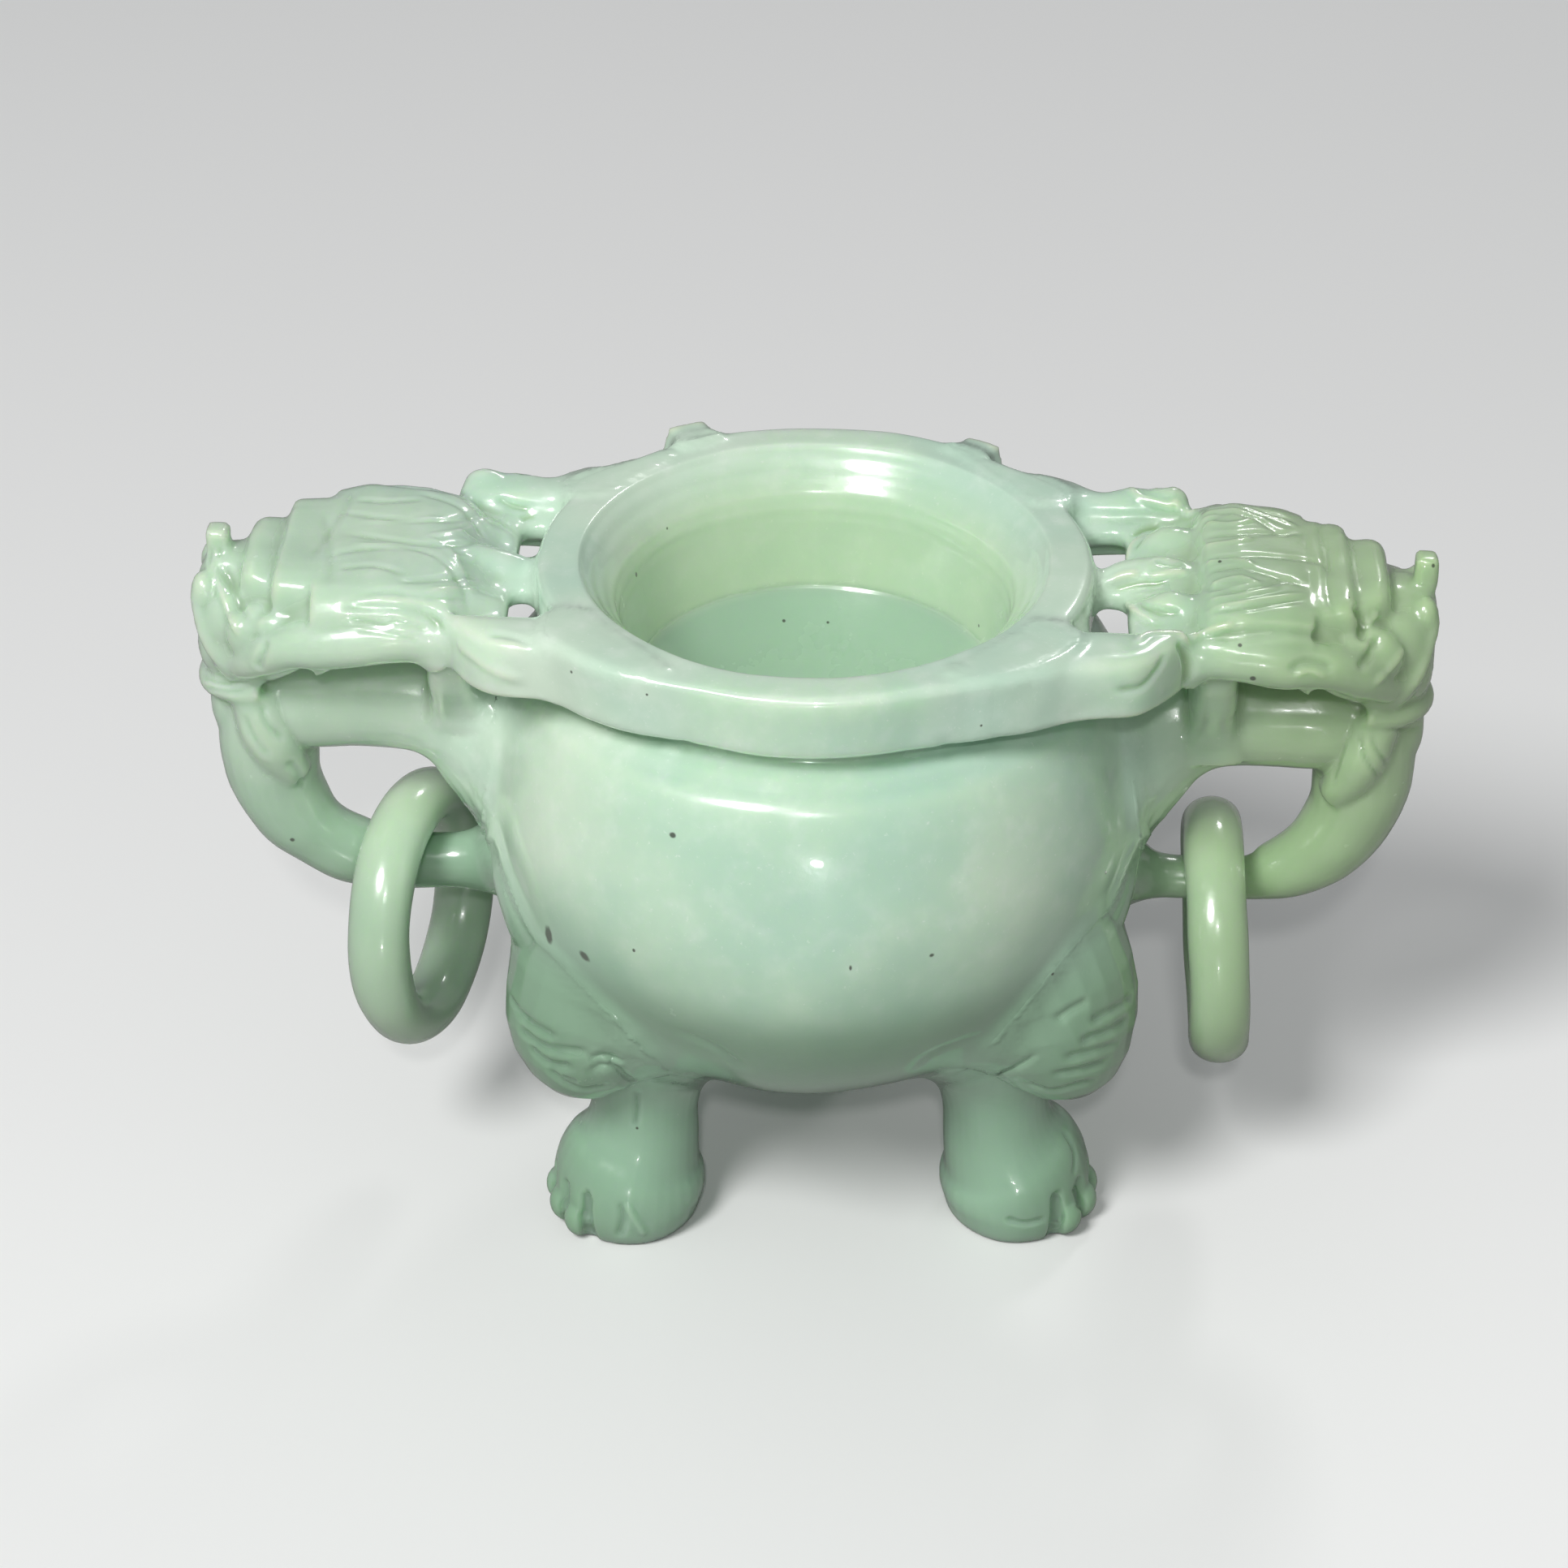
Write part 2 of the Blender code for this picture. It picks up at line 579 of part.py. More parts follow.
def make_paw(parts, frame):
    ankle = ANKLE_THICKNESS / 2
    half = PAW_WIDTH / 2
    tube("shank", parts, [
        (LEG_RADIUS + 2.0 * MM, 0.0, THIGH_LEVEL - 4 * MM, ankle * 1.25),
        (LEG_RADIUS - 0.6 * MM, 0.0, ANKLE_LEVEL + 7 * MM, ankle * 1.1),
        (LEG_RADIUS - 1.0 * MM, 0.0, ANKLE_LEVEL, ankle),
        (LEG_RADIUS, 0.0, PAW_HEIGHT * 0.8, ankle * 1.08),
        (LEG_RADIUS + 1.0 * MM, 0.0, PAW_HEIGHT * 0.4, ankle * 1.1),
    ], frame, steps=2, resolution=3)
    ball("paw", parts, (LEG_RADIUS + 2.6 * MM, 0.0, PAW_HEIGHT * 0.42),
         (half * 0.92, half, PAW_HEIGHT * 0.55), frame, segments=16)
    toe = TOE_THICKNESS / 2
    for number in range(TOE_COUNT):
        angle = radians(-57.0 + 114.0 * number / (TOE_COUNT - 1))
        points = []
        for share, level, size in TOE_STEPS:
            reach = TOE_REACH * share
            points.append((LEG_RADIUS + 1.6 * MM + reach * cos(angle), reach * sin(angle) * 0.98,
                           toe * level, toe * size))
        tube(f"toe_{number}", parts, points, frame, steps=1)


def make_leg(name, angle, group, tools, seat, table):
    parts = bpy.data.collections.new(name + "_parts")
    tools.children.link(parts)
    frame = Matrix.Rotation(radians(angle), 4, "Z")
    make_thigh(parts, frame, THIGH_OUT[name])
    make_paw(parts, frame)
    for item in parts.objects:
        hide_as_guide(item)
    # The leg starts as its flat sole pad, which every other form is joined to
    leg = ball(name, group, (LEG_RADIUS + 2.0 * MM, 0.0, TOE_THICKNESS * 0.5),
               (PAW_WIDTH * 0.40, PAW_WIDTH * 0.42, TOE_THICKNESS * 0.62), frame)
    joins = [("UNION", parts), ("DIFFERENCE", seat), ("DIFFERENCE", table)]
    return finish(leg, JADE), joins


def make_table_cutter(tools):
    reach = BELLY_RADIUS * 2
    table = block("table_plane", tools, (-reach, -reach, -20 * MM), (reach, reach, 0.0), None)
    hide_as_guide(table)
    return table


def main():
    clear_scene()
    group = new_collection("incense_burner")
    tools = new_collection("cutters")
    seat = make_seat_cutter("bowl_clearance", tools, SEAM)
    table = make_table_cutter(tools)
    for name, side in (("ring_left", -1), ("ring_right", 1)):
        make_ring(name, side, group)
    carved = [make_bowl(group)]
    for name, side in (("handle_left", -1), ("handle_right", 1)):
        carved.append(make_handle(name, side, group, tools, seat))
    for name, angle in LEG_ANGLES.items():
        carved.append(make_leg(name, angle, group, tools, seat, table))
    # Every form is modelled before the first cut, so that nothing is joined twice
    for solid, joins in carved:
        for operation, target in joins:
            add_boolean(solid, operation, target)


main()
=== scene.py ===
# Carved jade incense burner: looks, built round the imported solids
from math import cos, pi, radians, sin

import bmesh
import bpy
import numpy as np
from mathutils import Matrix, Vector, noise
from mathutils.bvhtree import BVHTree


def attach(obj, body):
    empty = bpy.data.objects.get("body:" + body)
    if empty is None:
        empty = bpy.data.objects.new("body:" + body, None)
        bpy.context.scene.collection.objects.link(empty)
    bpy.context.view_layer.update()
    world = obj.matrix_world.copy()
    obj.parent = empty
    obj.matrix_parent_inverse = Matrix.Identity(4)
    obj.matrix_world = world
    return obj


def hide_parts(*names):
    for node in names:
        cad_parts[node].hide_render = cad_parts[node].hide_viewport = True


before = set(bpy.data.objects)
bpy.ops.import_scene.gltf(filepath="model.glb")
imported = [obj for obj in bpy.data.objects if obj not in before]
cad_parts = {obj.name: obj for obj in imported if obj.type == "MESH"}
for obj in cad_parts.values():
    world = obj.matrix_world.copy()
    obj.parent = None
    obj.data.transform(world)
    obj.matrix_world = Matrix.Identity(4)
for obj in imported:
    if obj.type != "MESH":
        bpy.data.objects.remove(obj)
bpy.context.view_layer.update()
metres = 0.001  # everything below is modelled in millimetres

view = {
    "azimuth": 2.34, "elevation": 32.54, "distance": 601.96, "lens": 100.81,
    "aim": (-4.1, 0.0, 61.07), "sensor": 36.0, "photoSize": 1932.0,
}


def viewFrame():
    turn = Matrix.Rotation(radians(view["azimuth"]), 3, "Z")
    tilt = Matrix.Rotation(radians(90.0 - view["elevation"]), 3, "X")
    axes = turn @ tilt
    place = Vector(view["aim"]) + axes @ Vector((0.0, 0.0, view["distance"]))
    return axes, place


def makeCamera():
    axes, place = viewFrame()
    data = bpy.data.cameras.new("camera")
    data.lens = view["lens"]
    data.sensor_width = view["sensor"]
    data.clip_start = 0.01
    data.clip_end = 20.0
    camera = bpy.data.objects.new("camera", data)
    camera.matrix_world = Matrix.Translation(place * metres) @ axes.to_4x4()
    bpy.context.scene.collection.objects.link(camera)
    bpy.context.scene.camera = camera


def photoRay(px, py):
    # Line of sight through a point of the photograph, in millimetres
    axes, place = viewFrame()
    focal = view["lens"] / view["sensor"] * view["photoSize"]
    half = view["photoSize"] / 2
    return place, (axes @ Vector(((px - half) / focal, (half - py) / focal, -1.0))).normalized()


def smoothPath(points, steps):
    path = []
    last = len(points) - 1
    for i in range(last):
        before, start = points[max(i - 1, 0)], points[i]
        end, after = points[i + 1], points[min(i + 2, last)]
        for k in range(steps):
            t = k / steps
            path.append(tuple(
                0.5 * (2 * b + (c - a) * t + (2 * a - 5 * b + 4 * c - d) * t * t
                       + (3 * b - a - 3 * c + d) * t ** 3)
                for a, b, c, d in zip(before, start, end, after)))
    path.append(points[last])
    return path


def edgesOf(corners):
    # Each edge once, always in the same order
    return list(dict.fromkeys(e for v in corners for e in v.link_edges))


def drawThrough(bm, corners, places):
    # Closed tube: a ring of corners at the origin, drawn through a row of matrices
    edges = edgesOf(corners)
    before = Matrix.Identity(4)
    for number, here in enumerate(places):
        if number:
            geom = bmesh.ops.extrude_edge_only(bm, edges=edges)["geom"]
            corners = [g for g in geom if isinstance(g, bmesh.types.BMVert)]
            edges = [g for g in geom if isinstance(g, bmesh.types.BMEdge)]
        else:
            bmesh.ops.edgeloop_fill(bm, edges=edges)
        bmesh.ops.transform(bm, matrix=here @ before.inverted(), verts=corners)
        before = here
    bmesh.ops.edgeloop_fill(bm, edges=edges)


def sweep(bm, points, steps=4, sides=18):
    # Limb along a smooth path of x, y, z and radius
    path = smoothPath(points, steps)
    places = [Vector(p[:3]) for p in path]
    heading = (places[1] - places[0]).normalized()
    across = Vector((0.0, 1.0, 0.0))
    if abs(heading.dot(across)) > 0.8:
        across = Vector((1.0, 0.0, 0.0))
    stations = []
    for i, place in enumerate(places):
        onward = places[min(i + 1, len(places) - 1)] - places[max(i - 1, 0)]
        onward.normalize()
        across = (heading.rotation_difference(onward) @ across)
        across = (across - onward * across.dot(onward)).normalized()
        heading = onward
        upright = heading.cross(across)
        radius = path[i][3]
        here = Matrix.Identity(4)
        for row in range(3):
            here[row][0] = across[row] * radius
            here[row][1] = upright[row] * radius
            here[row][2] = heading[row]
            here[row][3] = place[row]
        stations.append(here)
    circle = bmesh.ops.create_circle(bm, cap_ends=False, segments=sides, radius=1.0)
    drawThrough(bm, circle["verts"], stations)


def ball(bm, centre, sizes, turn=None):
    place = Matrix.Translation(centre) @ (turn or Matrix.Identity(4))
    bmesh.ops.create_uvsphere(bm, u_segments=24, v_segments=12, radius=1.0,
                              matrix=place @ Matrix.Diagonal((*sizes, 1.0)))


def slab(bm, outline, low, high, rounding):
    corners = [bm.verts.new((x, y, low)) for x, y in outline]
    base = bm.faces.new(corners)
    made = bmesh.ops.extrude_face_region(bm, geom=[base])["geom"]
    top = [g for g in made if isinstance(g, bmesh.types.BMVert)]
    bmesh.ops.translate(bm, verts=top, vec=(0.0, 0.0, high - low))
    flat = [e for e in edgesOf(corners + top) if abs(e.verts[0].co.z - e.verts[1].co.z) < 1e-6]
    bmesh.ops.bevel(bm, geom=flat, offset=rounding, segments=3, profile=0.5,
                    affect="EDGES", material=-1)


def boxTube(bm, stations, power=3.2, sides=36, turn=None):
    # Rounded-box tube along x: distance out, half width, top, bottom
    corners = bmesh.ops.create_circle(bm, cap_ends=False, segments=sides, radius=1.0)["verts"]
    for corner in corners:
        x, y = corner.co.x, corner.co.y
        shape = (abs(x) ** power + abs(y) ** power) ** (-1.0 / power)
        corner.co = Vector((0.0, x * shape, y * shape))
    drawThrough(bm, corners, [
        (turn or Matrix.Identity(4)) @ Matrix.Translation((out, 0.0, (top + bottom) / 2))
        @ Matrix.Diagonal((1.0, half, (top - bottom) / 2, 1.0))
        for out, half, top, bottom in stations])


def roundBox(bm, low, high, rounding):
    low, high = Vector(low), Vector(high)
    made = bmesh.ops.create_cube(bm, size=1.0, matrix=Matrix.Translation((low + high) / 2)
                                 @ Matrix.Diagonal((*(high - low), 1.0)))["verts"]
    bmesh.ops.bevel(bm, geom=edgesOf(made), offset=rounding, segments=3, profile=0.5,
                    affect="EDGES", material=-1)


def meshObject(name, bm, matrix=None):
    if matrix is not None:
        bm.transform(matrix)
    bm.normal_update()
    bmesh.ops.recalc_face_normals(bm, faces=bm.faces)
    mesh = bpy.data.meshes.new(name)
    bm.to_mesh(mesh)
    bm.free()
    item = bpy.data.objects.new(name, mesh)
    bpy.context.scene.collection.objects.link(item)
    return item


def settle(item):
    # Modifiers applied, so that the mesh is final
    bpy.context.view_layer.update()
    done = item.evaluated_get(bpy.context.evaluated_depsgraph_get())
    mesh = bpy.data.meshes.new_from_object(done)
    item.modifiers.clear()
    item.data = mesh


def fuse(item, voxel, smoothing, cutters=()):
    melt = item.modifiers.new("melt", "REMESH")
    melt.mode = "VOXEL"
    melt.voxel_size = voxel
    for cutter in cutters:
        cut = item.modifiers.new("cut", "BOOLEAN")
        cut.operation = "DIFFERENCE"
        cut.solver = "EXACT"
        cut.object = cutter
    if cutters:
        again = item.modifiers.new("melt_again", "REMESH")
        again.mode = "VOXEL"
        again.voxel_size = voxel
    soft = item.modifiers.new("soften", "SMOOTH")
    soft.factor = 0.5
    soft.iterations = smoothing
    settle(item)
    for cutter in cutters:
        bpy.data.objects.remove(cutter, do_unlink=True)


def skinOf(item):
    mesh = item.data
    places = np.empty(len(mesh.vertices) * 3, np.float32)
    mesh.vertices.foreach_get("co", places)
    facing = np.empty(len(mesh.vertices) * 3, np.float32)
    mesh.vertex_normals.foreach_get("vector", facing)
    return places.reshape(-1, 3).astype(float), facing.reshape(-1, 3).astype(float)


def reshape(item, places):
    item.data.vertices.foreach_set("co", places.astype(np.float32).ravel())
    item.data.update()


def treeOf(item):
    mesh = item.data
    return BVHTree.FromPolygons([v.co for v in mesh.vertices],
                                [p.vertices for p in mesh.polygons])


def easing(t):
    t = np.clip(t, 0.0, 1.0)
    return t * t * (3.0 - 2.0 * t)


def cutStroke(places, facing, shift, path, width, depth, taper=0.2):
    # Groove (depth above 0) or ridge (below 0) along a line that lies on the skin
    if len(path) < 2:
        return
    path = np.array(path, float)
    inside = ((places > path.min(0) - width) & (places < path.max(0) + width)).all(1)
    near = np.where(inside)[0]
    if not len(near):
        return
    points = places[near]
    gaps = np.full(len(near), 1e9)
    along = np.zeros(len(near))
    lengths = np.linalg.norm(np.diff(path, axis=0), axis=1)
    total = lengths.sum()
    run = 0.0
    for a, b, length in zip(path[:-1], path[1:], lengths):
        if length < 1e-6:
            continue
        t = np.clip(((points - a) @ (b - a)) / length ** 2, 0.0, 1.0)
        gap = np.linalg.norm(points - (a + t[:, None] * (b - a)), axis=1)
        better = gap < gaps
        gaps[better] = gap[better]
        along[better] = run + t[better] * length
        run += length
    share = along / total
    ends = 1.0
    if taper:
        ends = easing(share / taper) * easing((1.0 - share) / taper)
    fall = easing(1.0 - gaps / width)
    shift[near] -= facing[near] * (depth * fall * ends)[:, None]


def drapeFromPhoto(tree, points, step=5.0):
    # A line drawn over the photograph, laid on the skin that it shows
    line = []
    for px, py in smoothPath(points, 8):
        start, direction = photoRay(px, py)
        hit = tree.ray_cast(start, direction)[0]
        if hit is not None and (not line or (hit - Vector(line[-1])).length < step):
            line.append(tuple(hit))
    return line


def strokes(width, depth, *lines):
    # Several like strokes; each line is drawn over the photograph, in its pixels
    return [(width, depth, line) for line in lines]


def mirrored(tree, line):
    # The same line on the far side of the object
    return [tuple(tree.find_nearest(Vector((x, -y, z)))[0]) for x, y, z in line]


def carve(item, groups, bothSides=True):
    places, facing = skinOf(item)
    tree = treeOf(item)
    shift = np.zeros_like(places)
    for width, depth, drawn in (stroke for group in groups.values() for stroke in group):
        line = drapeFromPhoto(tree, drawn)
        cutStroke(places, facing, shift, line, width, depth)
        if bothSides and len(line) > 1 and abs(np.mean([p[1] for p in line])) > 2.5:
            cutStroke(places, facing, shift, mirrored(tree, line), width, depth)
    reshape(item, places + shift)


def meetSkin(item, tree, fillet, most):
    # Swells the skin where it nears the other piece, so that the two flow together
    places, facing = skinOf(item)
    swell = np.zeros(len(places))
    for number, point in enumerate(places):
        point = Vector(point)
        below = (fillet["level"] - point.z) / fillet["run"]
        reach = fillet["narrow"] + fillet["wider"] * float(easing(below))
        place, normal, face, gap = tree.find_nearest(point, reach)
        if place is None:
            continue
        alike = min(max(normal.dot(Vector(facing[number])), -0.9), 0.9)
        if (point - place).dot(normal) > 0.0:
            root = max(reach - (1.0 - alike) * (reach - gap), 0.0) ** 0.5
            rise = ((reach ** 0.5 - root) / (1.0 - alike)) ** 2
            rise = reach * most * np.tanh((rise / (reach * most)) ** 3) ** (1.0 / 3.0)
        else:
            rise = reach * most * (1.0 - gap / reach)
        swell[number] = rise * min(1.0, 2.0 * (1.0 - alike))
    reshape(item, places + facing * swell[:, None])


def makeRoomForRing(item, sideName):
    # Skin drawn back where the loose ring would cut into it at the ends of its swing
    shape = rings[sideName]
    ring = ringItems[sideName].data
    pivot = Matrix.Translation((0.0, 0.0, bowl["top"] - rings["barDrop"]))
    for angle in shape["swing"]:
        turn = pivot @ Matrix.Rotation(radians(angle), 4, "X") @ pivot.inverted()
        tree = BVHTree.FromPolygons([turn @ v.co for v in ring.vertices],
                                    [p.vertices for p in ring.polygons])
        places = skinOf(item)[0]
        for number, point in enumerate(places):
            spot, normal, face, gap = tree.find_nearest(Vector(point), rings["deepest"])
            if spot is not None and (Vector(point) - spot).dot(normal) < rings["clear"]:
                places[number] = spot + normal * rings["clear"]
        reshape(item, places)


def markJoint(item, others):
    # How near the skin runs to the piece beside it, kept on the mesh for the stone, and
    # normals that turn to that piece's, so that the shading runs on across the line
    places, facing = skinOf(item)
    fade, blend = jade["jointFade"], jade["jointBlend"]
    beside = [(other.data, treeOf(other)) for other in others]
    near = np.zeros(len(places))
    for number, point in enumerate(places):
        least = fade
        for mesh, tree in beside:
            spot, normal, face, gap = tree.find_nearest(Vector(point), least)
            if spot is None:
                continue
            least = gap
            near[number] = 1.0 - gap / fade
            if gap < blend:
                corners = mesh.polygons[face].vertices
                across = sum((mesh.vertices[v].normal for v in corners), Vector()).normalized()
                share = 0.5 * (1.0 - gap / blend) ** 2
                turned = Vector(facing[number]).lerp(across, share).normalized()
        if least < blend:
            facing[number] = turned
    joint = item.data.attributes.new("joint", "FLOAT", "POINT")
    joint.data.foreach_set("value", near.astype(np.float32))
    item.data.shade_smooth()
    item.data.normals_split_custom_set_from_vertices(facing.tolist())


def unevenness(item, size, amount, seed):
    places, facing = skinOf(item)
    offset = Vector((seed * 7.3, seed * 3.1, seed * 5.7))
    swell = np.array([noise.noise(Vector(p) / size + offset) for p in places])
    reshape(item, places + facing * (swell * amount)[:, None])


def mellowed(item, rounds):
    # Where the vertices would lie if each were drawn to its neighbours' mean
    mesh = item.data
    soft = skinOf(item)[0]
    count = len(soft)
    links = np.empty(len(mesh.edges) * 2, np.int32)
    mesh.edges.foreach_get("vertices", links)
    first, second = links[0::2], links[1::2]
    neighbours = np.maximum(np.bincount(links, minlength=count), 1.0)[:, None]
    for _ in range(rounds):
        total = np.zeros_like(soft)
        for axis in range(3):
            total[:, axis] += np.bincount(first, soft[second, axis], count)
            total[:, axis] += np.bincount(second, soft[first, axis], count)
        soft = total / neighbours
    return soft


def readRelief(item, rounds, scale):
    # Edges above 0.5 and recesses below it, kept on the mesh for the painted light on edges and
    # painted shade in recesses
    places, facing = skinOf(item)
    rise = ((places - mellowed(item, rounds)) * facing).sum(1) / scale
    relief = item.data.attributes.new("relief", "FLOAT", "POINT")
    relief.data.foreach_set("value", np.clip(rise * 0.5 + 0.5, 0.0, 1.0).astype(np.float32))


def finishPiece(item, body, material, nodes):
    item.data.transform(Matrix.Scale(metres, 4))
    item.data.materials.clear()
    item.data.materials.append(material)
    item.data.shade_smooth()
    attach(item, body)
    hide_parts(*nodes)
    print(f"{item.name}: {sum(len(p.vertices) - 2 for p in item.data.polygons)} triangles")


class Sock:
    # A shader socket that can be used in plain sums
    def __init__(self, tree, socket):
        self.tree = tree
        self.socket = socket

    def sum(self, operation, *values):
        node = self.tree.nodes.new("ShaderNodeMath")
        node.operation = operation
        for place, value in enumerate(values):
            if isinstance(value, Sock):
                self.tree.links.new(value.socket, node.inputs[place])
            else:
                node.inputs[place].default_value = value
        return Sock(self.tree, node.outputs[0])

    def __add__(self, other):
        return self.sum("ADD", self, other)

    __radd__ = __add__

    def __sub__(self, other):
        return self.sum("SUBTRACT", self, other)

    def __rsub__(self, other):
        return self.sum("SUBTRACT", other, self)

    def __mul__(self, other):
        return self.sum("MULTIPLY", self, other)

    __rmul__ = __mul__


class Stone:
    def __init__(self, name):
        self.material = bpy.data.materials.new(name)
        self.material.use_nodes = True
        self.tree = self.material.node_tree
        self.shader = self.tree.nodes["Principled BSDF"]

    def node(self, kind, settings=None, **inputs):
        made = self.tree.nodes.new(kind)
        for key, value in (settings or {}).items():
            setattr(made, key, value)
        for key, value in inputs.items():
            socket = made.inputs[int(key[1:])] if key[0] == "n" and key[1:].isdigit() \
                else made.inputs[key.replace("_", " ")]
            if isinstance(value, Sock):
                self.tree.links.new(value.socket, socket)
            else:
                socket.default_value = value
        return made

    def out(self, kind, output, settings=None, **inputs):
        return Sock(self.tree, self.node(kind, settings, **inputs).outputs[output])

    def vector(self, operation, output, first, second=(0.0, 0.0, 0.0)):
        return self.out("ShaderNodeVectorMath", output, {"operation": operation},
                        n0=first, n1=second)

    def blend(self, share, first, second):
        # Colour mix; n6 and n7 are the Mix node's two colours
        return self.out("ShaderNodeMix", 2, {"data_type": "RGBA"}, n0=share, n6=first, n7=second)

    def ramp(self, value, low, high):
        return self.out("ShaderNodeMapRange", 0,
                        {"clamp": True, "interpolation_type": "SMOOTHSTEP"},
                        Value=value, From_Min=low, From_Max=high)


jade = {
    "body": (0.55, 0.75, 0.58, 1.0), "pale": (0.70, 0.84, 0.68, 1.0),
    "recessShade": (0.34, 0.54, 0.26, 1.0), "warmEdgeLight": (0.78, 0.84, 0.60, 1.0),
    "teal": (0.45, 0.67, 0.58, 1.0), "fleck": (0.90, 0.95, 0.89, 1.0),
    "oliveShadeRight": (0.38, 0.53, 0.29, 1.0), "low": (0.34, 0.53, 0.38, 1.0),
    "well": (0.60, 0.74, 0.46, 1.0), "thigh": (0.13, 0.24, 0.13, 1.0),
    "shade": (0.46, 0.62, 0.46, 1.0), "speck": (0.06, 0.07, 0.05, 1.0),
    "roughness": 0.24, "scatter": 0.004, "scatterColour": (0.75, 1.0, 0.62),
    "coat": 0.8, "coatRoughness": 0.03, "bend": 1.6, "bump": 0.18, "bumpHeight": 0.00025,
    "jointFade": 7.0, "jointBlend": 3.0, "reliefRounds": 14, "reliefScale": 0.5,
    # seed, scale, detail, roughness of each noise
    "cloud": (0.0, 34.0, 4.0, 0.55), "mottle": (3.0, 260.0, 3.0, 0.55),
    "grain": (8.0, 1500.0, 3.0, 0.6),
}


def jadeStone(name, seed, lowShare, spots=()):
    stone = Stone(name)
    where = stone.out("ShaderNodeTexCoord", "Object")
    across = stone.out("ShaderNodeSeparateXYZ", "X", Vector=where)
    height = stone.out("ShaderNodeSeparateXYZ", "Z", Vector=where)
    aside = across.sum("ABSOLUTE", across)
    radius = stone.vector("LENGTH", "Value", stone.vector("MULTIPLY", 0, where, (1.0, 1.0, 0.0)))
    relief = stone.out("ShaderNodeAttribute", "Fac", {"attribute_name": "relief"})
    joint = stone.out("ShaderNodeAttribute", "Fac", {"attribute_name": "joint"})
    # The edge of a piece that comes out of the next one is no edge of the stone
    relief = relief + (0.5 - relief) * stone.ramp(joint, 0.6, 0.9)
    cloud, mottle, grain = (
        stone.out("ShaderNodeTexNoise", 0, {"noise_dimensions": "4D"}, Vector=where,
                  W=seed + further, Scale=scale, Detail=detail, Roughness=roughness)
        for further, scale, detail, roughness in (jade["cloud"], jade["mottle"], jade["grain"]))
    # Paler towards the handles; the tones below add painted shade in recesses, on the dish and on
    # the handles, painted light on the edges, and darker feet and thighs that are partly painted
    # shade
    pale = cloud + stone.ramp(aside, 0.034, 0.058) * 0.06
    level = height - aside.sum("MINIMUM", aside, 0.03) * 0.3 + (cloud - 0.5) * 0.02
    thigh = stone.ramp(radius, 0.034, 0.044) * stone.ramp(height, 0.056, 0.046)
    inner = stone.ramp(radius, 0.0305, 0.024) * stone.ramp(height, 0.064, 0.067)
    dish = inner * stone.ramp(height, 0.0795, 0.0775)
    colour = stone.blend(stone.ramp(pale, 0.34, 0.80), jade["body"], jade["pale"])
    for tone, mask, strength in (
            ("fleck", stone.ramp(mottle, 0.42, 0.90), 0.38),
            ("teal", stone.ramp(cloud, 0.56, 0.24), 0.45),
            # Painted shade in the recesses and painted light on the edges, both read from the
            # relief
            ("recessShade", stone.ramp(relief, 0.5, 0.0), 0.85),
            ("warmEdgeLight", stone.ramp(relief, 0.55, 1.0), 0.55),
            ("fleck", stone.ramp(grain, 0.62, 0.74), 0.4),
            # Darker and greener towards the feet and on the thighs: partly the stone's own colour,
            # partly painted shade
            ("low", stone.ramp(level, 0.062, 0.039), lowShare),
            # The thighs' darker tone as above, the yellower inner wall, and painted shade on the
            # dish inside the bowl
            ("thigh", thigh, lowShare * 0.5), ("well", inner, 0.5), ("low", dish, 0.8),
            # Painted shade with an olive tint on the right-hand handle, and painted shade on the
            # left-hand one
            ("oliveShadeRight", stone.ramp(across, 0.032, 0.068), 0.85),
            ("shade", stone.ramp(across, -0.040, -0.075), 0.55)):
        colour = stone.blend(mask * strength, colour, jade[tone])
    dark = None
    for place, size, tall in spots:
        size = size * metres
        away = stone.vector("SUBTRACT", 0, where, tuple(c * metres for c in place))
        away = stone.vector("MULTIPLY", 0, away, (1.0, 1.0, 1.0 / tall))
        far = stone.vector("LENGTH", "Value", away) + (mottle - 0.5) * (size * 1.6)
        mark = stone.ramp(far, size, size * 0.45)
        dark = mark if dark is None else dark.sum("MAXIMUM", dark, mark)
    if dark is not None:
        colour = stone.blend(dark * 0.88, colour, jade["speck"])
    rough = jade["roughness"] + (mottle - 0.5) * 0.16 + stone.ramp(relief, 0.5, 0.1) * 0.12
    bump = stone.out("ShaderNodeBump", 0, Strength=jade["bump"],
                     Distance=jade["bumpHeight"], Height=mottle * 0.6 + grain * 0.4)
    plain = stone.node("ShaderNodeBsdfPrincipled")
    for shader in (stone.shader, plain):
        for socket, value in (("Base Color", colour), ("Roughness", rough), ("Normal", bump)):
            stone.tree.links.new(value.socket, shader.inputs[socket])
        shader.inputs["IOR"].default_value = jade["bend"]
        shader.inputs["Coat Weight"].default_value = jade["coat"]
        shader.inputs["Coat Roughness"].default_value = jade["coatRoughness"]
    shader = stone.shader
    shader.inputs["Subsurface Weight"].default_value = 1.0
    shader.inputs["Subsurface Scale"].default_value = jade["scatter"]
    shader.inputs["Subsurface Radius"].default_value = jade["scatterColour"]
    # Light can't pass from one mesh to the next, so the stone is plain where they meet
    both = stone.out("ShaderNodeMixShader", 0, n0=stone.ramp(joint, 0.0, 0.55),
                     n1=Sock(stone.tree, shader.outputs[0]), n2=Sock(stone.tree, plain.outputs[0]))
    end = stone.tree.nodes["Material Output"]
    stone.tree.links.new(both.socket, end.inputs["Surface"])
    return stone.material


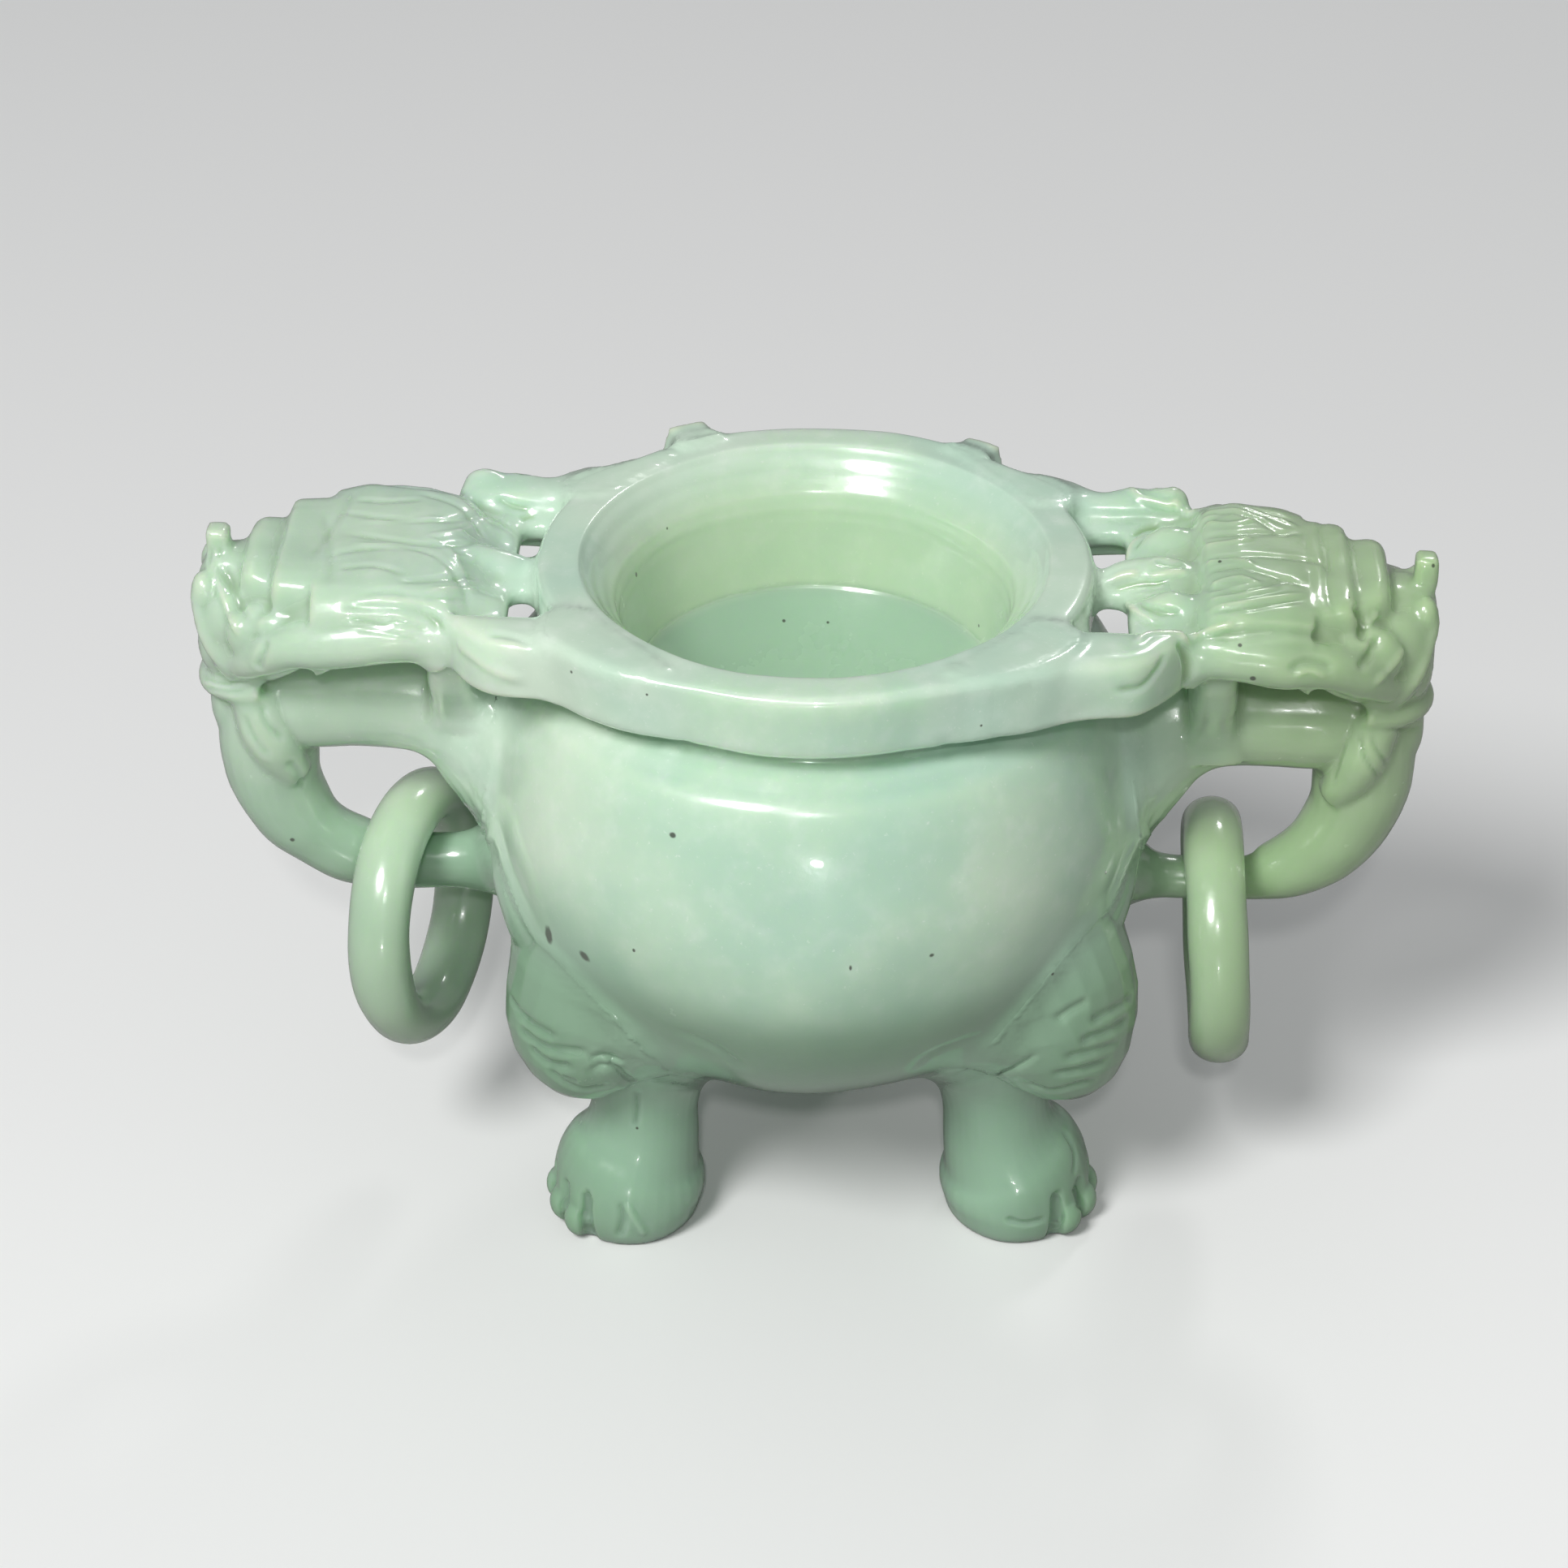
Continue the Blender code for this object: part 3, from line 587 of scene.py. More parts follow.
bowl = {
    "turns": 360, "quickTurns": 200, "top": 97.2, "rimOut": 37.0,
    # radius, height: across the rim, down the flange, round the neck to the shoulder
    "rim": [(31.2, 97.0), (31.7, 97.2), (33.6, 97.2), (35.6, 97.2), (36.4, 97.0), (36.9, 96.4),
            (37.0, 95.4), (36.95, 92.5), (36.9, 89.6), (36.7, 88.6), (36.1, 88.05),
            (35.2, 87.8), (34.1, 87.6), (33.4, 87.1), (33.15, 86.4), (33.3, 85.7),
            (34.0, 85.25), (35.2, 84.95), (36.5, 84.45), (37.7, 83.6)],
    "shoulder": [(37.7, 83.6), (39.8, 81.9), (41.8, 77.8), (43.3, 72.4), (44.3, 66.2),
                 (44.6, 59.5), (43.9, 52.8), (41.9, 46.3), (38.6, 40.2), (34.2, 34.7),
                 (28.7, 30.0), (22.3, 26.2), (15.2, 23.3), (7.7, 21.6), (0.0, 21.0)],
    # from the floor's centre up the wall and over the lid seat
    "inside": [(0.0, 68.0), (6.0, 68.4), (12.0, 70.0), (17.0, 72.6), (21.0, 75.6),
               (23.6, 77.8), (24.2, 78.4), (24.5, 79.2), (25.1, 83.6), (25.7, 87.6),
               (26.2, 90.4), (27.0, 92.3), (28.4, 94.0), (29.8, 95.6), (31.2, 97.0)],
    "toolRings": 0.045, "toolPitch": 3.3, "toolFrom": 84.0, "toolOut": 31.0,
    "flare": 3.7, "flareClear": 14.0, "flareNear": (12.0, 31.0), "flareFar": (25.0, 36.0),
    "flareOut": 33.4, "flareUp": 86.6,
}


bowlStrokes = {
    "flangeDents": strokes(1.8, 0.16, [(773, 850), (768, 866), (752, 884)], [(849, 896),
        (846, 912), (838, 926)], [(1219, 916), (1234, 890), (1248, 865)], [(1157, 906),
        (1178, 930)], [(1258, 868), (1302, 857)]),
    "chipUnderFlange": strokes(1.6, -0.3, [(818, 914), (829, 921), (842, 925)]),
    "bellyFolds": strokes(1.5, 0.3, [(826, 1271), (861, 1282), (900, 1303), (916, 1321)],
        [(1121, 1322), (1140, 1302), (1180, 1284), (1228, 1272)]),
}


def makeBowl():
    bm = bmesh.new()
    profile = (smoothPath(bowl["inside"], 5)[:-1] + smoothPath(bowl["rim"], 4)[:-1]
               + smoothPath(bowl["shoulder"], 8))
    corners = [bm.verts.new((max(r, 0.0), 0.0, z)) for r, z in profile]
    edges = [bm.edges.new(pair) for pair in zip(corners, corners[1:])]
    bmesh.ops.spin(bm, geom=corners + edges, axis=(0.0, 0.0, 1.0), cent=(0.0, 0.0, 0.0),
                   angle=2 * pi, steps=bowl["turns"],
                   use_merge=True)
    bmesh.ops.remove_doubles(bm, verts=bm.verts, dist=0.004)
    item = meshObject("bowl_carving", bm)
    places, facing = skinOf(item)
    x, y, z = places.T
    radius = np.hypot(x, y)
    # The flange widens towards the handles
    start, end = (np.where(y > 0.0, far, near)
                  for far, near in zip(bowl["flareFar"], bowl["flareNear"]))
    wide = easing((np.abs(x) - start) / (end - start))
    wide *= easing((np.abs(y) - bowl["flareClear"]) / 6.0)
    lift = easing((radius - bowl["flareOut"]) / 3.0) * easing((z - bowl["flareUp"]) / 1.4)
    grown = 1.0 + bowl["flare"] * wide * lift / np.maximum(radius, 1.0)
    places[:, 0] *= grown
    places[:, 1] *= grown
    # Turning marks inside
    inner = (radius < bowl["toolOut"]) * easing((z - bowl["toolFrom"]) / 6.0)
    marks = np.sin(z * bowl["toolPitch"]) * bowl["toolRings"] * inner
    places += facing * marks[:, None]
    reshape(item, places)
    carve(item, bowlStrokes, bothSides=False)
    unevenness(item, size=17.0, amount=0.35, seed=1.0)
    unevenness(item, size=6.0, amount=0.07, seed=2.0)
    return item


handles = {
    # Distances out are from the rim and heights from its top
    "voxel": 0.42, "quickVoxel": 0.5, "smoothing": 3, "slotUp": (-14.0, 6.0), "slotRounding": 0.8,
    "left": {
        "side": -1, "bar": 4.0, "slot": (4.7, 12.8), "slotOut": (-1.2, 3.0), "lug": (118.5, 95.3),
        "scroll": [(-19.0, 30.0), (-14.0, 31.2), (-9.0, 28.8), (-5.8, 26.3), (-2.6, 24.5),
                   (1.8, 24.1), (5.3, 22.8), (8.0, 20.4), (9.8, 17.4), (11.5, 15.5)],
        "scrollFar": [(-17.0, 28.6), (-12.5, 27.6), (-9.5, 26.4), (-6.6, 25.0), (-3.6, 24.8),
                      (0.4, 21.8), (4.1, 20.2), (7.4, 20.6), (10.0, 21.8), (12.0, 20.4),
                      (12.6, 15.5)],
        "scrollInner": 15.6, "scrollTop": -0.25, "farCurl": (9.0, 20.2, 0.2),
        "mane": [(5.4, 11.6, -3.0, -7.4), (8.0, 14.2, -1.2, -8.6), (10.5, 15.4, 1.0, -8.8),
                 (15.0, 16.6, 1.8, -8.8), (19.0, 17.0, 2.1, -9.0), (24.0, 17.2, 2.1, -10.0),
                 (28.4, 16.6, 1.7, -13.0)],
        "curls": [(0.0, 0.2, 12.0, 0.5), (-9.6, 4.4, 13.0, 0.0), (9.6, 4.4, 13.0, 0.0)],
        "post": (7.4, 14.4), "plate": 1.5, "brow": 1.0, "notch": -0.5,
        "nose": (42.6, 2.0), "snout": 45.6,
    },
    "right": {
        "side": 1, "bar": 3.0, "slot": (3.2, 14.2), "slotOut": (-0.4, 4.4), "lug": (56.5, 94.5),
        "scroll": [(-19.0, 29.6), (-14.0, 31.1), (-9.0, 30.0), (-3.3, 27.4), (0.0, 26.4),
                   (5.0, 25.4), (8.0, 23.1), (10.3, 20.4), (12.0, 17.6), (13.5, 15.6)],
        "scrollFar": [(-17.0, 28.4), (-12.5, 27.4), (-9.4, 25.6), (-6.0, 24.8), (-2.7, 24.2),
                      (2.5, 20.4), (8.1, 20.2), (12.0, 19.4), (13.8, 17.0), (14.0, 15.6)],
        "scrollInner": 16.6, "scrollTop": -0.2, "farCurl": (10.4, 18.8, 0.4),
        "mane": [(5.6, 11.8, -2.6, -7.4), (8.5, 13.6, -1.8, -8.6), (13.4, 15.2, -1.8, -8.8),
                 (14.3, 16.1, 1.4, -8.8), (19.0, 16.9, 2.1, -9.0), (25.0, 16.8, 1.3, -10.0),
                 (28.4, 16.2, 0.6, -13.0)],
        "curls": [(0.0, 0.4, 12.6, 0.9), (-8.4, 5.2, 13.4, 0.9), (8.4, 5.2, 13.4, 0.7)],
        "post": (13.0, 19.6), "plate": 0.7, "brow": 0.9, "notch": -2.0,
        "nose": (43.9, 1.5), "snout": 45.2,
    },
    # distance out, half width, top, bottom
    "skull": [(26.0, 15.8, -0.4, -10.0), (29.0, 15.0, -1.0, -12.0), (32.0, 13.4, -1.6, -14.8),
              (35.0, 11.2, -2.2, -17.2), (38.0, 9.2, -2.4, -18.6), (41.0, 8.0, -2.4, -18.8),
              (43.4, 7.0, -2.2, -18.4), (44.8, 5.8, -2.8, -17.4), (45.4, 4.4, -4.2, -16.2)],
    # drop, half width; the post is a wall that narrows downwards
    "wall": [(3.0, 14.6), (9.0, 14.8), (12.0, 14.2), (15.0, 12.8), (18.0, 11.0), (21.0, 9.4),
             (24.0, 8.4), (27.0, 8.0)],
    "wallSpread": (20.0, 0.35),
    "bridge": ((-6.5, -17.5, -6.3), (14.0, 17.5, -3.2)), "bridgeRounding": 0.7,
    "arc": 33.4, "arcAngles": (46, 40, 34, 29), "scrollBase": -9.1, "scrollRounding": 1.3,
    "lugPlace": 37.9, "lugSize": (5.2, 6.6, 5.0), "lugTaper": (0.76, 1.3),
    # centre and size of the cheeks' swellings
    "cheeks": [((33.0, 12.0, -5.6), (3.4, 1.6, 2.0)), ((38.6, 6.9, -12.4), (5.0, 2.6, 5.6)),
               ((38.8, 6.0, -8.6), (5.6, 3.4, 5.4)), ((35.6, 9.6, -8.4), (5.0, 3.0, 4.8))],
    # drop, thickness of the two lips, and how far they reach back and aside
    "lips": [(14.6, 1.6), (19.5, 2.0)], "lipInset": 0.2, "lipBack": 7.6, "lipAside": 7.0,
    # out, aside, up, radius along each limb
    "ear": [(39.4, 8.2, -14.0, 2.0), (35.4, 11.4, -10.2, 3.0), (30.4, 14.2, -7.0, 3.2),
            (24.4, 15.2, -5.9, 3.6), (18.8, 15.0, -5.0, 3.6), (14.0, 14.4, -5.4, 3.6),
            (11.0, 13.6, -8.0, 3.6)],
    "arm": [(-9.0, 0.0, -35.0, 13.6), (-3.0, 0.0, -33.0, 12.6), (4.0, 0.0, -30.4, 10.6),
            (10.0, 0.0, -25.6, 8.8), (15.0, 0.0, -23.4, 7.8), (20.0, 0.0, -22.8, 7.5),
            (26.0, 0.0, -22.7, 7.5), (33.0, 0.0, -22.8, 7.6), (38.4, 0.0, -22.2, 6.4)],
    "loop": [(36.8, 0.0, -19.0, 6.0), (37.6, 0.0, -26.0, 6.8), (37.6, 0.0, -32.0, 6.8),
             (36.8, 0.0, -37.6, 6.2), (34.4, 0.0, -42.6, 5.6), (31.0, 0.0, -46.0, 4.9)],
    "tuft": [(40.2, 0.0, -21.4, 4.8), (40.8, 0.0, -25.4, 4.5), (40.4, 0.0, -29.0, 3.6),
             (39.6, 0.0, -32.4, 2.0)],
    "beard": [(38.4, 5.0, -20.0, 3.4), (37.0, 5.4, -25.0, 3.8), (35.4, 4.8, -29.6, 3.4),
              (33.6, 3.6, -33.6, 2.4)],
    # the sunk ground round the slots
    "ground": {"from": -6.0, "to": 17.0, "run": 3.0, "above": 88.6, "rise": 1.6,
               "rounds": 22, "share": 0.85},
}


def onSide(side, points):
    return [(out, side * aside, up, radius) for out, aside, up, radius in points]


def addMane(bm, shape):
    roundBox(bm, *handles["bridge"], handles["bridgeRounding"])
    for front in (-1, 1):
        inner = shape["scrollInner"]
        arc = [(handles["arc"] * cos(a) - bowl["rimOut"], front * handles["arc"] * sin(a))
               for a in np.radians(handles["arcAngles"])]
        outline = shape["scroll"] if front < 0 else shape["scrollFar"]
        edge = [(o, front * y) for o, y in smoothPath(outline, 4)]
        slab(bm, edge + [(9.0, front * inner), (-4.0, front * inner)] + arc[::-1],
             handles["scrollBase"], shape["scrollTop"], handles["scrollRounding"])
    boxTube(bm, shape["mane"], power=4.5)
    out, aside, rise = shape["farCurl"]
    ball(bm, (out, aside, rise - 1.4), (3.2, 2.0, 2.4))
    ball(bm, (out - 5.0, aside + 1.0, rise - 2.2), (4.4, 1.8, 2.2))
    # Short curls on the bridge between the slots and beside them
    for y, inner, outer, rise in shape["curls"]:
        sweep(bm, [(inner, y * 0.9, -4.6, 2.0), (inner + 3.4, y, -3.4 + rise, 2.4),
                   (outer - 3.0, y * 1.04, -2.9 + rise, 2.8), (outer, y * 1.06, -3.4, 2.4)],
              sides=16)


def addLug(bm, shape):
    # Small lug on the rim's far side, narrower at its top
    angle, height = shape["lug"]
    turn = Matrix.Rotation(radians(angle), 4, "Z")
    made = bmesh.ops.create_cube(bm, size=1.0)["verts"]
    top, base = handles["lugTaper"]
    for corner in made:
        corner.co.y *= top if corner.co.z > 0.0 else base
    place = Matrix.Translation((handles["lugPlace"], 0.0, height)) @ Matrix.Diagonal(
        (*handles["lugSize"], 1.0))
    bmesh.ops.transform(bm, matrix=turn @ place, verts=made)


def addFace(bm, shape):
    (nose, noseTop), snout, notch = shape["nose"], shape["snout"], shape["notch"]
    brow, plate = shape["brow"], shape["plate"]
    # Bridge of the nose and its small knob, then brow and forehead in two steps
    boxTube(bm, [(36.0, 5.4, notch, -8.0), (nose - 2.6, 4.8, notch, -8.0),
                 (nose, 4.2, notch, -8.0), (snout - 1.2, 3.0, notch - 1.4, -8.0)], power=2.6)
    roundBox(bm, (nose - 1.6, -1.7, -3.0), (nose + 1.4, 1.7, noseTop + 0.5), 0.6)
    boxTube(bm, [(33.0, 9.6, brow - 0.9, -6.0), (35.0, 9.2, brow - 0.5, -6.0),
                 (37.2, 8.4, brow + 0.1, -6.0), (38.4, 7.6, brow - 0.4, -6.0),
                 (38.9, 7.0, brow - 1.6, -6.0)], power=3.4)
    boxTube(bm, [(27.0, 12.8, plate - 0.5, -6.0), (28.6, 12.6, plate + 0.1, -6.0),
                 (33.4, 12.0, plate + 0.1, -6.0), (34.0, 11.4, plate - 1.0, -6.0)], power=5.0)
    for side in (-1, 1):
        ball(bm, (snout - 1.6, side * 4.4, -4.8), (1.9, 2.2, 2.8))
        for (out, aside, up), sizes in handles["cheeks"]:
            ball(bm, (out, side * aside, up), sizes)
        # Lip wing from the nose back to the corner of the mouth
        sweep(bm, onSide(side, [(snout - 0.4, 4.8, -5.0, 1.0), (snout - 1.4, 6.6, -8.6, 1.2),
                                (42.6, 7.8, -12.2, 1.2), (40.4, 8.4, -15.4, 0.9)]), sides=12)
        # Ear lobe with its wavy lower edge
        sweep(bm, onSide(side, handles["ear"]), sides=16)
    for drop, thick in handles["lips"]:
        line = []
        for k in range(11):
            a = pi * (k / 10 - 0.5)
            back = 1 - cos(a)
            line.append((snout - handles["lipInset"] - thick * 0.4 - handles["lipBack"] * back,
                         handles["lipAside"] * sin(a), back - drop, thick))
        sweep(bm, line, steps=2, sides=14)


def addArm(bm, shape):
    bar = shape["bar"]
    inner, outer = shape["post"]
    sweep(bm, handles["arm"], sides=24)
    # Post under the mane: a wall that narrows downwards and runs out along the arm
    down = Matrix(((0.0, 0.0, 1.0, 0.0), (0.0, 1.0, 0.0, 0.0), (-1.0, 0.0, 0.0, 0.0),
                   (0.0, 0.0, 0.0, 1.0)))
    spreadFrom, spread = handles["wallSpread"]
    stations = []
    for drop, half in handles["wall"]:
        more = max(0.0, drop - spreadFrom) * spread
        stations.append((drop, half, outer + more, inner - more))
    boxTube(bm, stations, power=4.0, turn=down)
    # The loop, down from the jaw and back along the bar that carries the ring
    sweep(bm, handles["loop"] + [
        (26.6, 0.0, -48.6, (3.1 + bar) * 0.68), (22.4, 0.0, -49.8, bar),
        (10.0, 0.0, -49.8, bar), (2.0, 0.0, -49.5, bar * 1.08), (-12.0, 0.0, -48.8, bar * 1.2)],
        sides=22)
    # Tuft of beard down the front, and its full folds beside the jaw
    sweep(bm, handles["tuft"], sides=16)
    for side in (-1, 1):
        sweep(bm, onSide(side, handles["beard"]), sides=16)


handleStrokes = {
    "left": {
        "locks": strokes(1.0, 0.24, [(407, 628), (481, 639), (546, 641), (606, 632)], [(420, 655),
            (480, 664), (545, 672), (596, 668)], [(485, 717), (555, 712), (592, 712)], [(412, 700),
            (459, 697), (503, 708)], [(420, 741), (470, 730), (530, 736), (585, 738)]),
        "hairs": strokes(0.8, -0.18, [(518, 660), (555, 656), (599, 644)], [(555, 683),
            (588, 691)], [(430, 668), (500, 676), (552, 694)], [(520, 728), (559, 724),
            (596, 728)]),
        "foreheadStep": strokes(1.2, 0.2, [(398, 626), (403, 660), (408, 694), (404, 726)]),
        "aboveEar": strokes(1.5, 0.45, [(410, 748), (451, 747), (503, 752), (530, 760),
            (556, 784)]),
        "earHairs": strokes(0.7, 0.22, [(429, 760), (458, 768), (486, 772)], [(432, 772),
            (462, 778), (492, 783), (522, 791)], [(470, 762), (505, 770), (530, 778)]),
        "noseFold": strokes(0.9, -0.6, [(255, 686), (262, 706), (273, 728), (286, 762),
            (299, 792)]),
        "cheekHollows": strokes(1.2, 0.5, [(272, 690), (284, 716), (294, 744), (306, 776)],
            [(330, 786), (322, 806), (316, 826)]),
        "noseAndLips": strokes(0.6, 0.3, [(262, 672), (259, 690), (262, 716)], [(272, 672),
            (270, 690)], [(246, 832), (272, 842), (312, 840)], [(250, 846), (276, 852),
            (306, 852)]),
        "scrollAndBeard": strokes(1.0, 0.35, [(598, 780), (630, 784), (662, 796)], [(322, 866),
            (330, 892), (352, 912)], [(300, 878), (310, 906), (334, 936)], [(352, 936), (368, 956),
            (372, 974)]),
        "scrollRoll": strokes(1.4, -0.35, [(560, 790), (575, 803), (610, 826), (650, 842)]),
        "farScroll": strokes(1.0, 0.4, [(611, 610), (630, 622), (656, 628)], [(640, 640),
            (660, 634)]),
    },
    "right": {
        "locks": strokes(1.0, 0.3, [(1480, 662), (1540, 657), (1610, 657)], [(1481, 690),
            (1540, 684), (1610, 690), (1640, 700)], [(1478, 722), (1520, 726), (1600, 712)],
            [(1480, 752), (1530, 750), (1610, 738)]),
        "hairs": strokes(0.8, -0.3, [(1481, 645), (1515, 646), (1551, 640)], [(1481, 674),
            (1520, 668), (1547, 662)], [(1486, 731), (1530, 723), (1573, 717)], [(1486, 739),
            (1530, 733), (1580, 724)], [(1477, 757), (1523, 744), (1616, 731)]),
        "aboveEar": strokes(1.4, 0.5, [(1476, 790), (1525, 781), (1580, 778), (1612, 781),
            (1634, 790), (1650, 806)]),
        "scrollEnd": strokes(1.4, 0.7, [(1446, 786), (1459, 800), (1464, 822), (1460, 846),
            (1450, 862)]),
        "foreheadStep": strokes(1.0, 0.2, [(1640, 664), (1634, 700), (1640, 744), (1656, 776)]),
        "earAndCheekRidges": strokes(0.9, -0.45, [(1464, 787), (1494, 776), (1525, 768)],
            [(1729, 796), (1716, 818), (1690, 846)], [(1698, 752), (1690, 763), (1680, 770)]),
        "earCurlAndCheek": strokes(1.2, 0.5, [(1588, 832), (1598, 820), (1612, 815), (1632, 818),
            (1644, 828)], [(1664, 742), (1678, 770), (1676, 796)], [(1700, 780), (1688, 806),
            (1672, 826)]),
        "earCurlRidge": strokes(0.7, -0.3, [(1594, 834), (1612, 826), (1636, 836)]),
        "rimCurlRidges": strokes(0.9, -0.45, [(1357, 722), (1381, 710), (1407, 706)], [(1412, 714),
            (1445, 706), (1466, 708)], [(1381, 739), (1412, 760), (1431, 767)], [(1398, 795),
            (1412, 782), (1450, 780), (1461, 791), (1469, 803)]),
        "rimCurls": strokes(1.0, 0.45, [(1393, 661), (1409, 651), (1431, 648)], [(1366, 730),
            (1400, 720), (1440, 716)], [(1400, 744), (1430, 754), (1460, 756)], [(1369, 849),
            (1402, 848), (1424, 828), (1440, 803)], [(1420, 690), (1444, 696), (1462, 696)]),
        "beardHairs": strokes(0.6, 0.3, [(1690, 900), (1694, 920), (1712, 944)], [(1676, 900),
            (1680, 930), (1700, 960)], [(1660, 912), (1650, 940), (1640, 968)], [(1750, 896),
            (1728, 900), (1700, 898)]),
    },
}


def makeHandle(sideName):
    shape = handles[sideName]
    bm = bmesh.new()
    addMane(bm, shape)
    boxTube(bm, handles["skull"])
    addFace(bm, shape)
    addArm(bm, shape)
    matrix = Matrix.Diagonal((shape["side"], 1.0, 1.0, 1.0)) @ Matrix.Translation(
        (bowl["rimOut"], 0.0, bowl["top"]))
    bm.transform(matrix)
    addLug(bm, shape)
    item = meshObject(f"handle_{sideName}_carving", bm)
    inner, outer = shape["slot"]
    cutters = []
    for front in (-1, 1):
        ends = sorted((front * inner, front * outer))
        cutter = bmesh.new()
        roundBox(cutter, *zip(shape["slotOut"], ends, handles["slotUp"]),
                 handles["slotRounding"])
        cutters.append(meshObject("slot", cutter, matrix))
    voxel = handles["voxel"]
    fuse(item, voxel, handles["smoothing"], cutters)
    # The sunk ground round the slots runs gently up to the scrolls
    ground = handles["ground"]
    places = skinOf(item)[0]
    out = shape["side"] * places[:, 0] - bowl["rimOut"]
    sunk = (easing((ground["to"] - out) / ground["run"])
            * easing((places[:, 2] - ground["above"]) / ground["rise"])
            * easing((out - ground["from"]) / ground["run"]))
    soft = mellowed(item, ground["rounds"])
    reshape(item, places + (soft - places) * (sunk * ground["share"])[:, None])
    carve(item, handleStrokes[sideName])
    unevenness(item, size=5.0, amount=0.22, seed=6.0 + shape["side"])
    return item


legs = {
    "voxel": 0.36, "quickVoxel": 0.5, "smoothing": 3,
    "front_left": {"angle": 215.0, "thigh": 6.0, "tall": 42.7, "foot": (30.1, -1.1),
                   "shin": 27.8, "hip": 13.0, "toes": (-52.0, -26.0, 0.0, 24.0),
                   "claws": (-64.0, -39.0, -13.0, 12.0)},
    "front_right": {"angle": 330.5, "thigh": 8.2, "tall": 43.0, "foot": (32.0, 2.4),
                    "shin": 29.8, "hip": -13.0, "toes": (-26.0, 0.0, 26.0, 50.0),
                    "claws": (-12.0, 14.0, 38.0, 62.0)},
    "back": {"angle": 90.0, "thigh": 4.5, "tall": 42.0, "foot": (28.6, 0.0), "shin": 27.6,
             "hip": 0.0, "toes": (-48.0, -16.0, 16.0, 48.0), "claws": (-32.0, 0.0, 32.0)},
    # height, radius, how far out of the shin's line, up from the sole
    "foot": [(0.2, 8.9, 1.0), (1.8, 9.8, 1.0), (4.6, 10.5, 1.0), (7.4, 10.5, 0.9),
             (10.0, 9.9, 0.7), (12.6, 8.6, 0.4), (15.6, 7.7, 0.15), (19.5, 7.3, 0.0)],
    # how much further out than the shin, height, radius
    "calf": [(0.0, 24.0, 7.6), (0.6, 31.0, 9.2), (1.4, 38.0, 10.4)],
    "thighOut": 28.4, "thighSize": (12.2, 13.0, 18.4), "thighLean": -20.0,
    # out, height, radius, share of the hip's turn: up the belly towards the handle
    "hip": [(34.0, 44.0, 9.0, 0.0), (38.6, 50.0, 6.8, 0.5), (41.6, 55.4, 4.4, 1.0),
            (43.2, 60.0, 2.2, 1.4)],
    "clawOut": 8.9, "clawUp": 3.4, "clawSize": (2.9, 2.5, 3.2),
    # out from the foot's middle, height
    "toeGap": [(10.6, 8.0), (10.5, 5.4), (10.2, 2.6), (9.4, -1.0)],
}

legStrokes = {
    "front_left": {
        "furFolds": strokes(1.3, 0.55, [(633, 1245), (659, 1265), (690, 1281)], [(636, 1265),
            (666, 1288), (702, 1296), (729, 1298)], [(649, 1288), (676, 1311), (709, 1314)],
            [(669, 1314), (696, 1334), (722, 1342), (755, 1336)], [(719, 1326), (739, 1314),
            (755, 1317), (772, 1331), (785, 1331)], [(722, 1308), (742, 1302), (760, 1308)]),
        "ankleAndThigh": strokes(0.8, 0.4, [(783, 1340), (785, 1367), (781, 1392)], [(628, 1228),
            (640, 1248), (650, 1262)], [(690, 1326), (712, 1334)]),
        "toeGaps": strokes(1.0, 0.5, [(764, 1478), (768, 1500), (762, 1526)], [(724, 1462),
            (722, 1486), (724, 1506)]),
        "toeRidge": strokes(0.9, -0.4, [(767, 1479), (780, 1500), (796, 1524)]),
    },
    "front_right": {
        "furFolds": strokes(1.3, 0.5, [(1338, 1262), (1371, 1245), (1397, 1228)], [(1325, 1285),
            (1364, 1271), (1392, 1255)], [(1305, 1304), (1351, 1294), (1381, 1285)], [(1292, 1324),
            (1331, 1318), (1367, 1308)], [(1259, 1330), (1292, 1344), (1331, 1336), (1352, 1330)],
            [(1300, 1262), (1318, 1246), (1344, 1232)]),
        "shinLines": strokes(0.8, 0.35, [(1230, 1322), (1256, 1312), (1284, 1296)], [(1308, 1390),
            (1324, 1420), (1322, 1452)]),
        "toeGaps": strokes(0.9, 0.45, [(1236, 1500), (1262, 1508), (1290, 1502)], [(1300, 1478),
            (1306, 1492), (1302, 1510)], [(1322, 1462), (1330, 1476), (1328, 1492)]),
    },
    "back": {},
}


